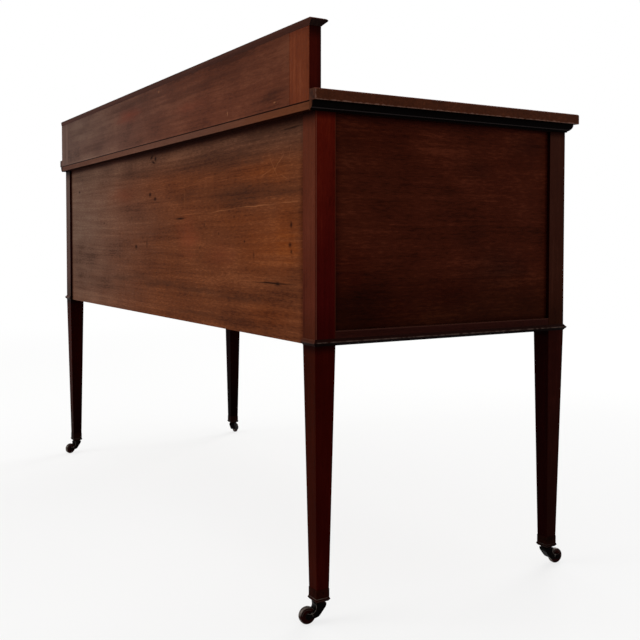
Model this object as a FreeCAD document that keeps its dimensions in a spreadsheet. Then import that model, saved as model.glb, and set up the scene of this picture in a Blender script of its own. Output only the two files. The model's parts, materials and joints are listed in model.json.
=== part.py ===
import FreeCAD, Part
import math
import os
import re
import Sketcher
from FreeCAD import Placement, Rotation, Vector

# A kneehole writing table on square tapered legs with castors.
# X runs to the right as seen from the front, Y to the back, Z up. The floor is Z = 0.

doc = FreeCAD.newDocument("writing_table")

# Driving sizes in millimetres
SIZES = {
    # whole table
    "top_height": 770.0,
    "carcass_width": 1262.0,
    "carcass_depth": 495.0,
    "carcass_height": 347.5,
    # top
    "top_thickness": 16.5,
    "end_overhang": 16.5,
    "front_overhang": 15.5,
    "back_overhang": 10.0,
    "top_edge_round": 3.0,
    "leather_margin": 62.0,
    "leather_back_margin": 30.0,
    "leather_thickness": 1.2,
    "ovolo_height": 13.0,
    "ovolo_projection": 9.5,
    "ovolo_lip": 1.5,
    "ovolo_toe": 2.5,
    "ovolo_fillet": 1.5,
    # upstand along the back of the top
    "upstand_height": 100.0,
    "upstand_thickness": 20.0,
    "stile_width": 56.0,
    "cap_height": 11.0,
    "cap_drop": 2.2,
    "cap_lip": 1.4,
    "cap_front_projection": 9.0,
    "cap_end_projection": 4.5,
    "cap_front_round": 6.0,
    "cap_end_round": 3.0,
    "back_strip_height": 12.0,
    # panels and rails
    "post_side": 34.5,
    "panel_thickness": 8.0,
    "panel_tongue": 6.0,
    "back_recess": 5.0,
    "end_recess": 6.5,
    "end_rail_height": 21.0,
    "end_rail_depth": 22.0,
    "front_rail_depth": 45.0,
    "top_rail_height": 14.0,
    "divider_height": 16.0,
    "tenon_length": 8.0,
    "tenon_shoulder": 4.0,
    "partition_thickness": 18.0,
    "kneehole_width": 570.0,
    "upper_opening": 100.0,
    "bottom_board_thickness": 10.0,
    "runner_width": 20.0,
    "guide_height": 18.0,
    "stop_length": 28.0,
    "stop_width": 12.0,
    "stop_height": 5.0,
    "stop_gap": 0.3,
    "glue_block_side": 22.0,
    "glue_block_length": 60.0,
    # foot bead
    "bead_height": 10.0,
    "bead_projection": 4.0,
    "bead_tip": 0.8,
    # drawers
    "drawer_setback": 1.5,
    "drawer_reveal": 1.0,
    "drawer_lift": 0.3,
    "drawer_back_gap": 1.5,
    "drawer_front_thickness": 20.0,
    "drawer_side_thickness": 10.0,
    "drawer_headroom": 4.0,
    "drawer_bottom_thickness": 6.0,
    "drawer_bottom_rise": 8.0,
    "drawer_groove": 5.0,
    "dovetail_lap": 6.0,
    "cock_bead_width": 3.0,
    "cock_bead_projection": 2.0,
    # drawer brasses
    "plate_length": 88.0,
    "plate_height": 50.0,
    "plate_thickness": 1.0,
    "plate_rim": 2.5,
    "plate_rim_rise": 0.8,
    "handle_span": 66.0,
    "handle_pivot_rise": 9.0,
    "handle_pivot_reach": 11.0,
    "handle_post_radius": 3.0,
    "handle_head_radius": 4.8,
    "handle_head_width": 7.0,
    "bail_radius": 2.3,
    "bail_fit": 0.06,
    "bail_drop": 27.0,
    "bail_overhang": 8.0,
    "bail_corner_radius": 10.0,
    "bail_neck_radius": 4.0,
    "escutcheon_radius": 8.0,
    "escutcheon_inset": 13.0,
    "keyhole_radius": 2.4,
    "keyhole_slot": 2.2,
    "keyhole_drop": 6.0,
    "lock_width": 52.0,
    "lock_height": 32.0,
    "lock_depth": 9.0,
    "centre_handle_spread": 170.0,
    # legs and castors
    "cup_top_side": 21.4,
    "cup_bottom": 32.5,
    "cup_floor": 3.0,
    "cup_height": 18.5,
    "cup_wall": 1.2,
    "cup_proud": 0.3,
    "cup_flange_side": 24.5,
    "cup_flange_height": 6.0,
    "cup_neck_side": 20.0,
    "castor_gap": 0.3,
    "castor_disc_radius": 9.0,
    "castor_disc_thickness": 2.5,
    "pintle_radius": 3.0,
    "pintle_fit": 0.06,
    "pintle_head_radius": 4.6,
    "pintle_head_height": 1.5,
    "pintle_hole_radius": 5.5,
    "pintle_hole_depth": 8.0,
    "wheel_radius": 12.7,
    "wheel_width": 10.0,
    "wheel_tread": 3.0,
    "wheel_edge_drop": 1.5,
    "wheel_dish": 0.8,
    "wheel_hub_radius": 4.5,
    "wheel_play": 0.4,
    "wheel_slot_gap": 0.7,
    "axle_radius": 1.5,
    "axle_fit": 0.06,
    "axle_head_radius": 2.6,
    "axle_head_height": 0.8,
    "trail": 19.0,
    "cheek_thickness": 2.4,
    "cheek_hub_radius": 5.0,
    "horn_back": 8.5,
    "horn_waist": 6.0,
    "horn_waist_height": 22.5,
    "horn_toe_reach": 5.5,
    "horn_toe_height": 7.9,
    "horn_throat_reach": 9.0,
    "horn_throat_height": 21.5,
}

# Sizes that follow from the driving ones
DERIVED = {
    "frame_shift": "(front_overhang - back_overhang) / 2",
    "half_width": "carcass_width / 2",
    "front_face": "frame_shift - carcass_depth / 2",
    "back_face": "frame_shift + carcass_depth / 2",
    "post_inner": "half_width - post_side",
    "top_underside": "top_height - top_thickness",
    "carcass_bottom": "top_underside - carcass_height",
    "upstand_front": "back_face + back_overhang - upstand_thickness",
    "upstand_back": "back_face + back_overhang",
    "cap_foot": "top_height + upstand_height - cap_height",
    "overall_height": "top_height + upstand_height",
    "back_panel_rear": "back_face - back_recess",
    "back_panel_front": "back_panel_rear - panel_thickness",
    "end_panel_outer": "half_width - end_recess",
    "end_panel_inner": "end_panel_outer - panel_thickness",
    "end_rail_top": "carcass_bottom + end_rail_height",
    "top_rail_bottom": "top_underside - top_rail_height",
    "upper_floor": "top_rail_bottom - upper_opening",
    "divider_bottom": "upper_floor - divider_height",
    "rail_rear": "front_face + front_rail_depth",
    "knee_half": "kneehole_width / 2",
    "partition_outer": "knee_half + partition_thickness",
    "leg_axis_x": "half_width - post_side / 2",
    "front_leg_y": "front_face + post_side / 2",
    "back_leg_y": "back_face - post_side / 2",
    "cup_top": "cup_bottom + cup_height",
    "leg_foot": "cup_bottom + cup_floor",
    "foot_tenon_side": "cup_top_side + 2 * cup_proud - 2 * cup_wall",
    "drawer_face": "front_face + drawer_setback",
    "drawer_inner_face": "drawer_face + drawer_front_thickness",
    "drawer_back": "back_face - post_side - drawer_back_gap",
    "disc_top": "cup_bottom - castor_gap",
    "disc_bottom": "disc_top - castor_disc_thickness",
    "handle_pivot_y": "drawer_face - handle_pivot_reach",
}

# Radii of arcs as shares of their chords
QUARTER_ARC_SHARE = 0.7072
CROWN_ARC_SHARE = 0.9
GENTLE_ARC_SHARE = 1.1

# Widths of a dovetail as shares of the distance from one to the next
TAIL_END_SHARE = 0.74
TAIL_ROOT_SHARE = 0.52

# Rounding of the cock bead as a share of its width
COCK_BEAD_ROUND_SHARE = 0.4

UPPER_TAILS = 3
LOWER_TAILS = 6

SIDES = (("left", -1), ("right", 1))

# Side and place in depth of each leg
LEGS = {
    "front_left": (-1, "front_leg_y"),
    "front_right": (1, "front_leg_y"),
    "rear_left": (-1, "back_leg_y"),
    "rear_right": (1, "back_leg_y"),
}

# Ways that the castors trail at rest, in degrees from +X
RESTING_TURNS = {
    "front_left": 265.0,
    "front_right": 312.0,
    "rear_left": 82.0,
    "rear_right": 106.0,
}

sheet = doc.addObject("Spreadsheet::Sheet", "Dims")
for row, (alias, content) in enumerate(list(SIZES.items()) + list(DERIVED.items()), 1):
    sheet.set(f"A{row}", alias)
    sheet.set(f"B{row}", str(content) if alias in SIZES else "=" + content)
    sheet.setAlias(f"B{row}", alias)
doc.recompute()

kept = []


# Helpers

def in_sheet(text):
    """Give an expression on the sheet's cells from one written in their plain names."""
    return re.sub(r"[a-z][a-z_]+", lambda word: word.group(0) if word.group(0) == "sqrt"
                  else "Dims." + word.group(0), text)


def size(text):
    """Value of an expression, in millimetres."""
    return float(sheet.evalExpression(in_sheet(text)))


def bind(item, name, text):
    item.setExpression(name, in_sheet(text))


def keep(item, label):
    """Name an object as one of the finished pieces."""
    item.Label = label
    kept.append(item)
    return item


def box(name, x, y, z):
    """Block between two faces on each axis."""
    item = doc.addObject("Part::Box", name)
    for (low, high), length, axis in ((x, "Length", "x"), (y, "Width", "y"), (z, "Height", "z")):
        bind(item, length, f"({high}) - ({low})")
        bind(item, "Placement.Base." + axis, low)
    return item


def cylinder(name, radius, height, centre, axis):
    """Round bar from centre along axis, which is a unit vector."""
    item = doc.addObject("Part::Cylinder", name)
    bind(item, "Radius", radius)
    bind(item, "Height", height)
    item.Placement = Placement(Vector(), Rotation(Vector(0, 0, 1), axis))
    for letter, place in zip("xyz", centre):
        bind(item, "Placement.Base." + letter, place)
    return item


def cut(name, base, tools):
    """Take each tool away from the base in turn."""
    for step, tool in enumerate(tools):
        item = doc.addObject("Part::Cut", f"{name}_cut_{step}")
        item.Base = base
        item.Tool = tool
        base = item
    return base


def fuse(name, items):
    item = doc.addObject("Part::MultiFuse", name)
    item.Shapes = items
    return item


def group(name, items):
    """Several separate solids that make one named node."""
    item = doc.addObject("Part::Compound", name)
    item.Links = items
    return item


def body(name):
    return doc.addObject("PartDesign::Body", name)


def origin_plane(owner, role):
    return next(item for item in owner.Origin.OriginFeatures if item.Role == role)


def sketch(owner, name, role, offset="0"):
    """Empty sketch on one of the body's own planes, moved along the plane's normal."""
    item = owner.newObject("Sketcher::SketchObject", name)
    item.AttachmentSupport = (origin_plane(owner, role), [""])
    item.MapMode = "FlatFace"
    bind(item, "AttachmentOffset.Base.z", offset)
    return item


def arc_between(start, end, radius, side):
    """Arc of a given radius from start to end that bulges to the left (1) or right (-1) of its chord."""
    chord = end - start
    across = Vector(-chord.y, chord.x, 0).normalize() * side
    half = chord.Length / 2
    centre = (start + end) / 2 - across * max(radius ** 2 - half ** 2, 0) ** 0.5
    first, last = (end, start) if side > 0 else (start, end)
    from_angle = math.atan2(first.y - centre.y, first.x - centre.x)
    to_angle = math.atan2(last.y - centre.y, last.x - centre.x)
    if to_angle < from_angle:
        to_angle += 2 * math.pi
    return Part.ArcOfCircle(Part.Circle(centre, Vector(0, 0, 1), radius), from_angle, to_angle)


def chain(item, points, closed):
    """Lines and arcs from point to point: each point is (x, y), or (x, y, share, side) where an arc ends.

    The share gives the arc's radius from its chord, and side 1 bulges to the left of the way it runs."""
    places = [Vector(size(point[0]), size(point[1]), 0) for point in points]
    count = len(points)
    steps = [(start, (start + 1) % count) for start in range(count if closed else count - 1)]
    links = []
    for start, end in steps:
        goal = points[end]
        if len(goal) == 4:
            radius = (places[end] - places[start]).Length * goal[2]
            shape = arc_between(places[start], places[end], radius, goal[3])
        else:
            shape = Part.LineSegment(places[start], places[end])
        line = item.addGeometry(shape)
        made = item.Geometry[line]
        forward = (made.StartPoint - places[start]).Length < (made.EndPoint - places[start]).Length
        links.append((line, 1, 2) if forward else (line, 2, 1))
    for (line, begin, finish), (following, start, end) in zip(links, links[1:] + links[:1] * closed):
        item.addConstraint(Sketcher.Constraint("Coincident", line, finish, following, start))
    ends = [(line, begin) for line, begin, finish in links]
    if not closed:
        ends.append((links[-1][0], links[-1][2]))
    for (line, which), point, place in zip(ends, points, places):
        for kind, coordinate in (("DistanceX", 0), ("DistanceY", 1)):
            number = item.addConstraint(Sketcher.Constraint(kind, -1, 1, line, which, place[coordinate]))
            bind(item, f"Constraints[{number}]", point[coordinate])
    for (line, begin, finish), (start, end) in zip(links, steps):
        goal, origin = points[end], points[start]
        if len(goal) == 4:
            chord = f"sqrt(({goal[0]} - ({origin[0]})) ^ 2 + ({goal[1]} - ({origin[1]})) ^ 2)"
            radius = (places[end] - places[start]).Length * goal[2]
            number = item.addConstraint(Sketcher.Constraint("Radius", line, radius))
            bind(item, f"Constraints[{number}]", f"{goal[2]} * {chord}")
    return item


def outline(item, points):
    return chain(item, points, True)


def rectangle(item, x, y):
    return outline(item, [(x[0], y[0]), (x[1], y[0]), (x[1], y[1]), (x[0], y[1])])


def circle(item, centre, radius):
    """Full circle with its centre and radius bound to the sheet."""
    place = Vector(size(centre[0]), size(centre[1]), 0)
    line = item.addGeometry(Part.Circle(place, Vector(0, 0, 1), size(radius)))
    for kind, coordinate in (("DistanceX", 0), ("DistanceY", 1)):
        number = item.addConstraint(Sketcher.Constraint(kind, -1, 1, line, 3, place[coordinate]))
        bind(item, f"Constraints[{number}]", centre[coordinate])
    number = item.addConstraint(Sketcher.Constraint("Radius", line, size(radius)))
    bind(item, f"Constraints[{number}]", radius)
    return item


def feature(owner, kind, name, profile, length=None, reverse=False, symmetric=False):
    """Pad, pocket or other feature of a body on one sketch."""
    item = owner.newObject("PartDesign::" + kind, name)
    item.Profile = profile
    if length is not None:
        bind(item, "Length", length)
    if kind in ("Pad", "Pocket"):
        item.Reversed = reverse
        item.SideType = "Symmetric" if symmetric else "One side"
    return item


def edges_where(shape, test):
    return [f"Edge{number}" for number, edge in enumerate(shape.Edges, 1) if test(edge)]


def put(item, x="0", y="0", z="0", turn=0.0, axis=Vector(0, 0, 1)):
    """Place an item: its position follows the sheet, after a turn in degrees."""
    item.Placement = Placement(Vector(), Rotation(axis, turn))
    for letter, place in (("x", x), ("y", y), ("z", z)):
        bind(item, "Placement.Base." + letter, place)
    return item


def mirrored(text):
    return f"-({text})"


def span(side, near, far):
    """Low and high X of a piece that lies between two distances from the middle plane."""
    return (near, far) if side > 0 else (mirrored(far), mirrored(near))


# Rails with a tenon at each end, along X or Y

def tenoned_rail(name, x, y, z, along):
    bar = box(name + "_bar", x, y, z)
    spans = []
    for axis, (low, high) in zip("xyz", (x, y, z)):
        reach = "-tenon_length" if axis == along else "tenon_shoulder"
        spans.append((f"({low}) + ({reach})", f"({high}) - ({reach})"))
    tongue = box(name + "_tenons", *spans)
    return fuse(name + "_tenoned", [bar, tongue])


# Mitred moulding strips. A strip is drawn along +X from 0, and stands out to -Y of the line y = 0.
# The start and end mitres lengthen or shorten it by its own projection.

def strip(name, profile, length, projection, mitres):
    part = body(name)
    section = outline(sketch(part, name + "_section", "YZ_Plane", mirrored(projection)), profile)
    feature(part, "Pad", name + "_pad", section, f"{length} + 2 * ({projection})")
    slack = f"2 * ({projection})"
    for place, (along, way) in enumerate((("0", -1), (length, 1))):
        cutter = sketch(part, f"{name}_end_{place}", "XY_Plane")
        tip = f"({along}) + {way} * {slack}"
        far = f"{tip} + {way} * {slack}"
        points = [(far, mirrored(slack)), (far, slack), (along, slack)]
        points += [(along, "0"), (tip, mirrored(slack))] if mitres[place] else [(along, mirrored(slack))]
        pocket = feature(part, "Pocket", f"{name}_trim_{place}", outline(cutter, points))
        pocket.Type = "ThroughAll"
        pocket.SideType = "Symmetric"
    return part


def moulding_run(name, profile, projection, corners, mitres, z):
    """Strips along a run of corners given as (x, y), each corner a quarter turn to the left."""
    strips = []
    for number, (start, end) in enumerate(zip(corners, corners[1:])):
        axis = 0 if start[1] == end[1] else 1
        length = f"({end[axis]}) - ({start[axis]})"
        turn = 90 * axis
        if size(length) < 0:
            length = mirrored(length)
            turn += 180
        item = strip(f"{name}_{number}", profile, f"({length})", projection, mitres[number])
        strips.append(put(item, start[0], start[1], z, turn))
    return strips


# Top, its leather and the moulding under its edge

def make_top():
    end = "half_width + end_overhang"
    board = body("top_slab")
    pad = feature(board, "Pad", "top_slab_pad", rectangle(
        sketch(board, "top_slab_plan", "XY_Plane", "top_underside"),
        (mirrored(end), end), ("front_face - front_overhang", "upstand_back")), "top_thickness")
    doc.recompute()
    front = size("front_face - front_overhang")
    corner = size(end)
    slack = size("top_edge_round") / 4
    rounded = board.newObject("PartDesign::Fillet", "top_edge")
    rounded.Base = (pad, edges_where(pad.Shape, lambda edge: abs(
        edge.CenterOfMass.z - size("top_height")) < slack and (
            abs(edge.CenterOfMass.y - front) < slack or abs(abs(edge.CenterOfMass.x) - corner) < slack)))
    bind(rounded, "Radius", "top_edge_round")
    board.Tip = rounded
    rebate = box("upstand_rebate", ("-half_width", "half_width"), ("upstand_front", "upstand_back"),
                 ("top_underside", "top_height"))
    inset = (f"leather_margin - ({end})", f"{end} - leather_margin")
    deep = ("front_face - front_overhang + leather_margin", "upstand_front - leather_back_margin")
    skin = ("top_height - leather_thickness", "top_height")
    leather = box("writing_leather", inset, deep, skin)
    keep(cut("top_board", board, [rebate, leather]), "top_board")
    keep(leather, "writing_leather")


def make_top_moulding():
    profile = [
        ("0", "-ovolo_height"),
        ("0", "0"),
        ("-ovolo_projection", "0"),
        ("-ovolo_projection", "-ovolo_lip"),
        ("-ovolo_toe", "ovolo_fillet - ovolo_height", CROWN_ARC_SHARE, -1),
        ("-ovolo_toe", "-ovolo_height"),
    ]
    corners = [("-half_width", "upstand_back"), ("-half_width", "front_face"),
               ("half_width", "front_face"), ("half_width", "upstand_back")]
    strips = moulding_run("top_moulding", profile, "ovolo_projection", corners,
                          [(False, True), (True, True), (True, False)], "top_underside")
    keep(group("top_moulding", strips), "top_moulding")


# Raised back board with its stiles and cap

def make_upstand():
    depth = ("upstand_front", "upstand_back")
    height = ("top_underside", "cap_foot")
    inner = "half_width - stile_width"
    stiles = [box("upstand_stile_" + name, span(side, inner, "half_width"), depth, height)
              for name, side in SIDES]
    keep(group("upstand_stiles", stiles), "upstand_stiles")
    keep(box("upstand_board", (mirrored(inner), inner), depth, height), "upstand_board")


def make_cap():
    """Cap with a thin rounded nose that returns round both ends: two sections at right angles in common."""
    nose = "upstand_front - cap_front_projection"
    tip = "half_width + cap_end_projection"
    crown = "overall_height - cap_drop"
    lip = f"{crown} - cap_lip"
    long = body("cap_along")
    section = outline(sketch(long, "cap_section", "YZ_Plane"), [
        ("upstand_back", "cap_foot"),
        ("upstand_back", "overall_height"),
        (f"{nose} + cap_front_round", "overall_height"),
        (nose, crown, GENTLE_ARC_SHARE, -1),
        (nose, lip),
        ("upstand_front", "cap_foot"),
    ])
    feature(long, "Pad", "cap_pad", section, f"2 * ({tip})", symmetric=True)
    wide = body("cap_across")
    section = outline(sketch(wide, "cap_end_section", "XZ_Plane"), [
        ("-half_width", "cap_foot"),
        ("half_width", "cap_foot"),
        (tip, lip),
        (tip, crown),
        (f"{tip} - cap_end_round", "overall_height", GENTLE_ARC_SHARE, -1),
        (f"cap_end_round - ({tip})", "overall_height"),
        (mirrored(tip), crown, GENTLE_ARC_SHARE, -1),
        (mirrored(tip), lip),
    ])
    feature(wide, "Pad", "cap_end_pad", section, "3 * upstand_back", symmetric=True)
    cap = doc.addObject("Part::MultiCommon", "upstand_cap")
    cap.Shapes = [long, wide]
    keep(cap, "upstand_cap")


# Legs: a square post, a taper on all four faces and a foot tenon that fills the castor cup

def leg_blank(name):
    leg = body(name + "_blank")
    half = "post_side / 2"
    square = (mirrored(half), half)
    post = rectangle(sketch(leg, name + "_post", "XY_Plane", "carcass_bottom"), square, square)
    feature(leg, "Pad", name + "_post_pad", post, "top_underside - carcass_bottom")
    head = rectangle(sketch(leg, name + "_taper_top", "XY_Plane", "carcass_bottom"), square, square)
    small = ("-cup_top_side / 2", "cup_top_side / 2")
    ankle = rectangle(sketch(leg, name + "_taper_end", "XY_Plane", "cup_top"), small, small)
    taper = leg.newObject("PartDesign::AdditiveLoft", name + "_taper")
    taper.Profile = head
    taper.Sections = [ankle]
    tenon = ("-foot_tenon_side / 2", "foot_tenon_side / 2")
    foot = rectangle(sketch(leg, name + "_foot", "XY_Plane", "leg_foot"), tenon, tenon)
    feature(leg, "Pad", name + "_foot_pad", foot, "cup_top - leg_foot")
    hole = circle(sketch(leg, name + "_hole", "XY_Plane", "leg_foot"), ("0", "0"), "pintle_hole_radius")
    feature(leg, "Pocket", name + "_hole_pocket", hole, "pintle_hole_depth", reverse=True)
    return leg


# Framed ends, back and front of the carcass

def make_carcass():
    posts = {}
    for name, (side, depth) in LEGS.items():
        posts[name] = put(leg_blank("leg_" + name), f"{side} * leg_axis_x", depth)
    mates = {name: [] for name in posts}

    top_rail = tenoned_rail("front_top", ("-post_inner", "post_inner"), ("front_face", "rail_rear"),
                            ("top_rail_bottom", "top_underside"), "x")
    keep(top_rail, "front_top_rail")
    mates["front_left"].append(top_rail)
    mates["front_right"].append(top_rail)
    centre = tenoned_rail("centre", ("-knee_half", "knee_half"), ("front_face", "rail_rear"),
                          ("divider_bottom", "upper_floor"), "x")
    keep(centre, "centre_rail")

    back_panel = box("back_panel", ("-post_inner - panel_tongue", "post_inner + panel_tongue"),
                     ("back_panel_front", "back_panel_rear"), ("carcass_bottom", "top_underside"))
    keep(back_panel, "back_panel")
    back_strip = box("back_strip_blank", ("-half_width", "half_width"), ("back_panel_rear", "upstand_back"),
                     ("top_underside - back_strip_height", "top_underside"))
    keep(cut("back_strip", back_strip, [posts["rear_left"], posts["rear_right"]]), "back_strip")

    bottoms = []
    for name, side in SIDES:
        front_post, rear_post = "front_" + name, "rear_" + name
        between = ("front_face + post_side", "back_face - post_side")
        depth = span(side, "half_width - end_rail_depth", "half_width")
        lower = tenoned_rail("end_lower_" + name, depth, between, ("carcass_bottom", "end_rail_top"), "y")
        upper = tenoned_rail("end_upper_" + name, depth, between, ("top_rail_bottom", "top_underside"), "y")
        panel = box("end_panel_" + name, span(side, "end_panel_inner", "end_panel_outer"),
                    ("front_face + post_side - panel_tongue", "back_face - post_side + panel_tongue"),
                    ("end_rail_top - panel_tongue", "top_rail_bottom + panel_tongue"))
        keep(panel, "end_panel_" + name)
        rails = [cut("end_lower_rail_" + name, lower, [panel]), cut("end_upper_rail_" + name, upper, [panel])]
        keep(group("end_rails_" + name, rails), "end_rails_" + name)

        across = span(side, "partition_outer", "post_inner")
        divider = tenoned_rail("divider_" + name, across, ("front_face", "rail_rear"),
                               ("divider_bottom", "upper_floor"), "x")
        bottom = tenoned_rail("bottom_" + name, across, ("front_face", "rail_rear"),
                              ("carcass_bottom", "end_rail_top"), "x")
        keep(group("front_rails_" + name, [divider, bottom]), "front_rails_" + name)

        partition = box("partition_board_" + name, span(side, "knee_half", "partition_outer"),
                        ("front_face", "back_panel_front"), ("carcass_bottom", "top_underside"))
        keep(cut("partition_" + name, partition, [top_rail, centre, divider, bottom]), "partition_" + name)

        floor = box("bottom_board_" + name, span(side, "partition_outer", "half_width - end_rail_depth"),
                    ("rail_rear", "back_panel_front"),
                    ("end_rail_top - bottom_board_thickness", "end_rail_top"))
        bottoms.append(cut("bottom_board_fit_" + name, floor, [posts[rear_post]]))
        for post in (front_post, rear_post):
            mates[post] += [lower, upper, panel]
        mates[front_post] += [divider, bottom]
        mates[rear_post].append(back_panel)
    keep(group("pedestal_bottoms", bottoms), "pedestal_bottoms")
    for name, post in posts.items():
        keep(cut("leg_" + name, post, mates[name]), "leg_" + name)


def make_runners():
    """Runners, guides, kickers and stops, all glued to the carcass."""
    pieces = []
    run = ("rail_rear", "back_face - post_side")
    below = ("divider_bottom", "upper_floor")
    above = ("top_rail_bottom", "top_underside")
    behind = ("drawer_inner_face + stop_gap", "drawer_inner_face + stop_gap + stop_width")
    for name, side in SIDES:
        inner = span(side, "partition_outer", "partition_outer + runner_width")
        outer = span(side, "post_inner - runner_width", "end_panel_inner")
        outer_kicker = span(side, "post_inner - runner_width", "half_width - end_rail_depth")
        guide = span(side, "post_inner", "end_panel_inner")
        knee = span(side, "knee_half - runner_width", "knee_half")
        for place, x in (("inner", inner), ("outer", outer), ("knee", knee)):
            pieces.append(box(f"runner_{place}_{name}", x, run, below))
        for place, x in (("inner", inner), ("outer", outer_kicker), ("knee", knee)):
            pieces.append(box(f"kicker_{place}_{name}", x, run, above))
        for place, floor in (("upper", "upper_floor"), ("lower", "end_rail_top")):
            pieces.append(box(f"guide_{place}_{name}", guide, run, (floor, f"{floor} + guide_height")))
            for end, start in (("inner", "partition_outer + 2 * runner_width"),
                               ("outer", "post_inner - 2 * runner_width - stop_length")):
                pieces.append(box(f"stop_{place}_{end}_{name}", span(side, start, f"{start} + stop_length"),
                                  behind, (floor, f"{floor} + stop_height")))
        start = "knee_half - 2 * runner_width - stop_length"
        pieces.append(box("stop_centre_" + name, span(side, start, f"{start} + stop_length"), behind,
                          ("upper_floor", "upper_floor + stop_height")))
    keep(group("drawer_runners", pieces), "drawer_runners")


def make_glue_blocks():
    """Three-cornered blocks under the top, along the back panel between the kickers."""
    blocks = []
    reach = "partition_outer + runner_width"
    bays = (("left", mirrored(f"({reach} + post_inner - runner_width) / 2")), ("mid_left", "-knee_half / 2"),
            ("mid_right", "knee_half / 2"), ("right", f"({reach} + post_inner - runner_width) / 2"))
    for name, middle in bays:
        block = body("glue_block_" + name)
        section = outline(sketch(block, f"glue_block_{name}_section", "YZ_Plane"), [
            ("back_panel_front", "top_underside"),
            ("back_panel_front - glue_block_side", "top_underside"),
            ("back_panel_front", "top_underside - glue_block_side"),
        ])
        feature(block, "Pad", f"glue_block_{name}_pad", section, "glue_block_length", symmetric=True)
        blocks.append(put(block, middle))
    keep(group("glue_blocks", blocks), "glue_blocks")


def make_foot_beads():
    profile = [
        ("0", "0"),
        ("0", "bead_height"),
        ("-bead_projection", "(bead_height + bead_tip) / 2"),
        ("-bead_projection", "(bead_height - bead_tip) / 2"),
    ]
    back = "back_face"
    left = [("-post_inner", back), ("-half_width", back), ("-half_width", "front_face"),
            ("-knee_half", "front_face")]
    right = [("knee_half", "front_face"), ("half_width", "front_face"), ("half_width", back),
             ("post_inner", back)]
    mitres = [(False, True), (True, True), (True, False)]
    for name, corners in (("left", left), ("right", right)):
        strips = moulding_run("foot_bead_" + name, profile, "bead_projection", corners, mitres,
                              "carcass_bottom")
        keep(group("foot_bead_" + name, strips), "foot_bead_" + name)


# Drawers

def tail_points(root, end, low, high, tails, upward):
    """Corners of one dovetailed end: half pins at both edges and tails that spread towards the end."""
    pitch = f"(({high}) - ({low})) / {tails}"
    points = []
    for tail in range(tails):
        middle = f"({low}) + {pitch} * {tail + 0.5}"
        root_half = f"{pitch} * {TAIL_ROOT_SHARE / 2}"
        end_half = f"{pitch} * {TAIL_END_SHARE / 2}"
        points += [
            (root, f"{middle} - {root_half}"),
            (end, f"{middle} - {end_half}"),
            (end, f"{middle} + {end_half}"),
            (root, f"{middle} + {root_half}"),
        ]
    return points if upward else points[::-1]


def make_drawer(name, x, floor, ceiling, tails, handles):
    """One drawer in an opening between two faces in X, on a floor and under a ceiling."""
    low, high = x
    front_x = (f"({low}) + drawer_reveal", f"({high}) - drawer_reveal")
    foot = f"{floor} + drawer_lift"
    head = f"{ceiling} - drawer_headroom"
    lap_end = "drawer_face + dovetail_lap"
    back_inner = "drawer_back - drawer_side_thickness"

    bottom_z = (f"{foot} + drawer_bottom_rise", f"{foot} + drawer_bottom_rise + drawer_bottom_thickness")
    groove_x = (f"{front_x[0]} + drawer_side_thickness - drawer_groove",
                f"{front_x[1]} - drawer_side_thickness + drawer_groove")
    bottom = box(name + "_bottom", groove_x, ("drawer_inner_face - drawer_groove", "drawer_back"), bottom_z)

    sides = []
    for place, start in (("left", front_x[0]), ("right", f"{front_x[1]} - drawer_side_thickness")):
        side = body(f"{name}_side_{place}")
        points = [("drawer_inner_face", foot)]
        points += tail_points("drawer_inner_face", lap_end, foot, head, tails, True)
        points += [("drawer_inner_face", head), (back_inner, head)]
        points += tail_points(back_inner, "drawer_back", bottom_z[1], head, tails, False)
        points += [(back_inner, bottom_z[1]), ("drawer_back", bottom_z[1]), ("drawer_back", foot)]
        section = outline(sketch(side, f"{name}_side_{place}_outline", "YZ_Plane"), points)
        feature(side, "Pad", f"{name}_side_{place}_pad", section, "drawer_side_thickness")
        sides.append(cut(f"{name}_side_{place}_grooved", put(side, start), [bottom]))
    back = box(name + "_back_board", front_x, (back_inner, "drawer_back"), (bottom_z[1], head))
    back = cut(name + "_back", back, sides)
    keep(group(name + "_box", sides + [back, bottom]), name + "_box")

    front_z = (f"{floor} + drawer_reveal", f"{ceiling} - drawer_reveal")
    lock_x = f"(({low}) + ({high})) / 2"
    key_z = f"{front_z[1]} - escutcheon_inset"
    front = body(name + "_front_board")
    plan = rectangle(sketch(front, name + "_front_plan", "XZ_Plane", "-drawer_inner_face"), front_x, front_z)
    feature(front, "Pad", name + "_front_pad", plan, "drawer_front_thickness")
    ring = sketch(front, name + "_cock_bead_plan", "XZ_Plane", "-drawer_face")
    rectangle(ring, front_x, front_z)
    rectangle(ring, (f"{front_x[0]} + cock_bead_width", f"{front_x[1]} - cock_bead_width"),
              (f"{front_z[0]} + cock_bead_width", f"{front_z[1]} - cock_bead_width"))
    bead = feature(front, "Pad", name + "_cock_bead", ring, "cock_bead_projection")
    doc.recompute()
    proud = size("drawer_face - cock_bead_projection")
    slack = size("cock_bead_width") / 8
    rounded = front.newObject("PartDesign::Fillet", name + "_cock_bead_round")
    rounded.Base = (bead, edges_where(bead.Shape, lambda edge: abs(edge.CenterOfMass.y - proud) < slack))
    bind(rounded, "Radius", f"cock_bead_width * {COCK_BEAD_ROUND_SHARE}")
    front.Tip = rounded
    lock = box(name + "_lock_case", (f"{lock_x} - lock_width / 2", f"{lock_x} + lock_width / 2"),
               ("drawer_inner_face - lock_depth", "drawer_inner_face"),
               (f"{front_z[1]} - lock_height", front_z[1]))
    key_hole = cylinder(name + "_key_hole", "keyhole_radius", "drawer_front_thickness",
                        (lock_x, "drawer_face", key_z), Vector(0, 1, 0))
    keep(cut(name + "_front", front, sides + [bottom, lock, key_hole]), name + "_front")
    make_brasses(name, lock_x, key_z, lock, front_z, handles)


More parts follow.
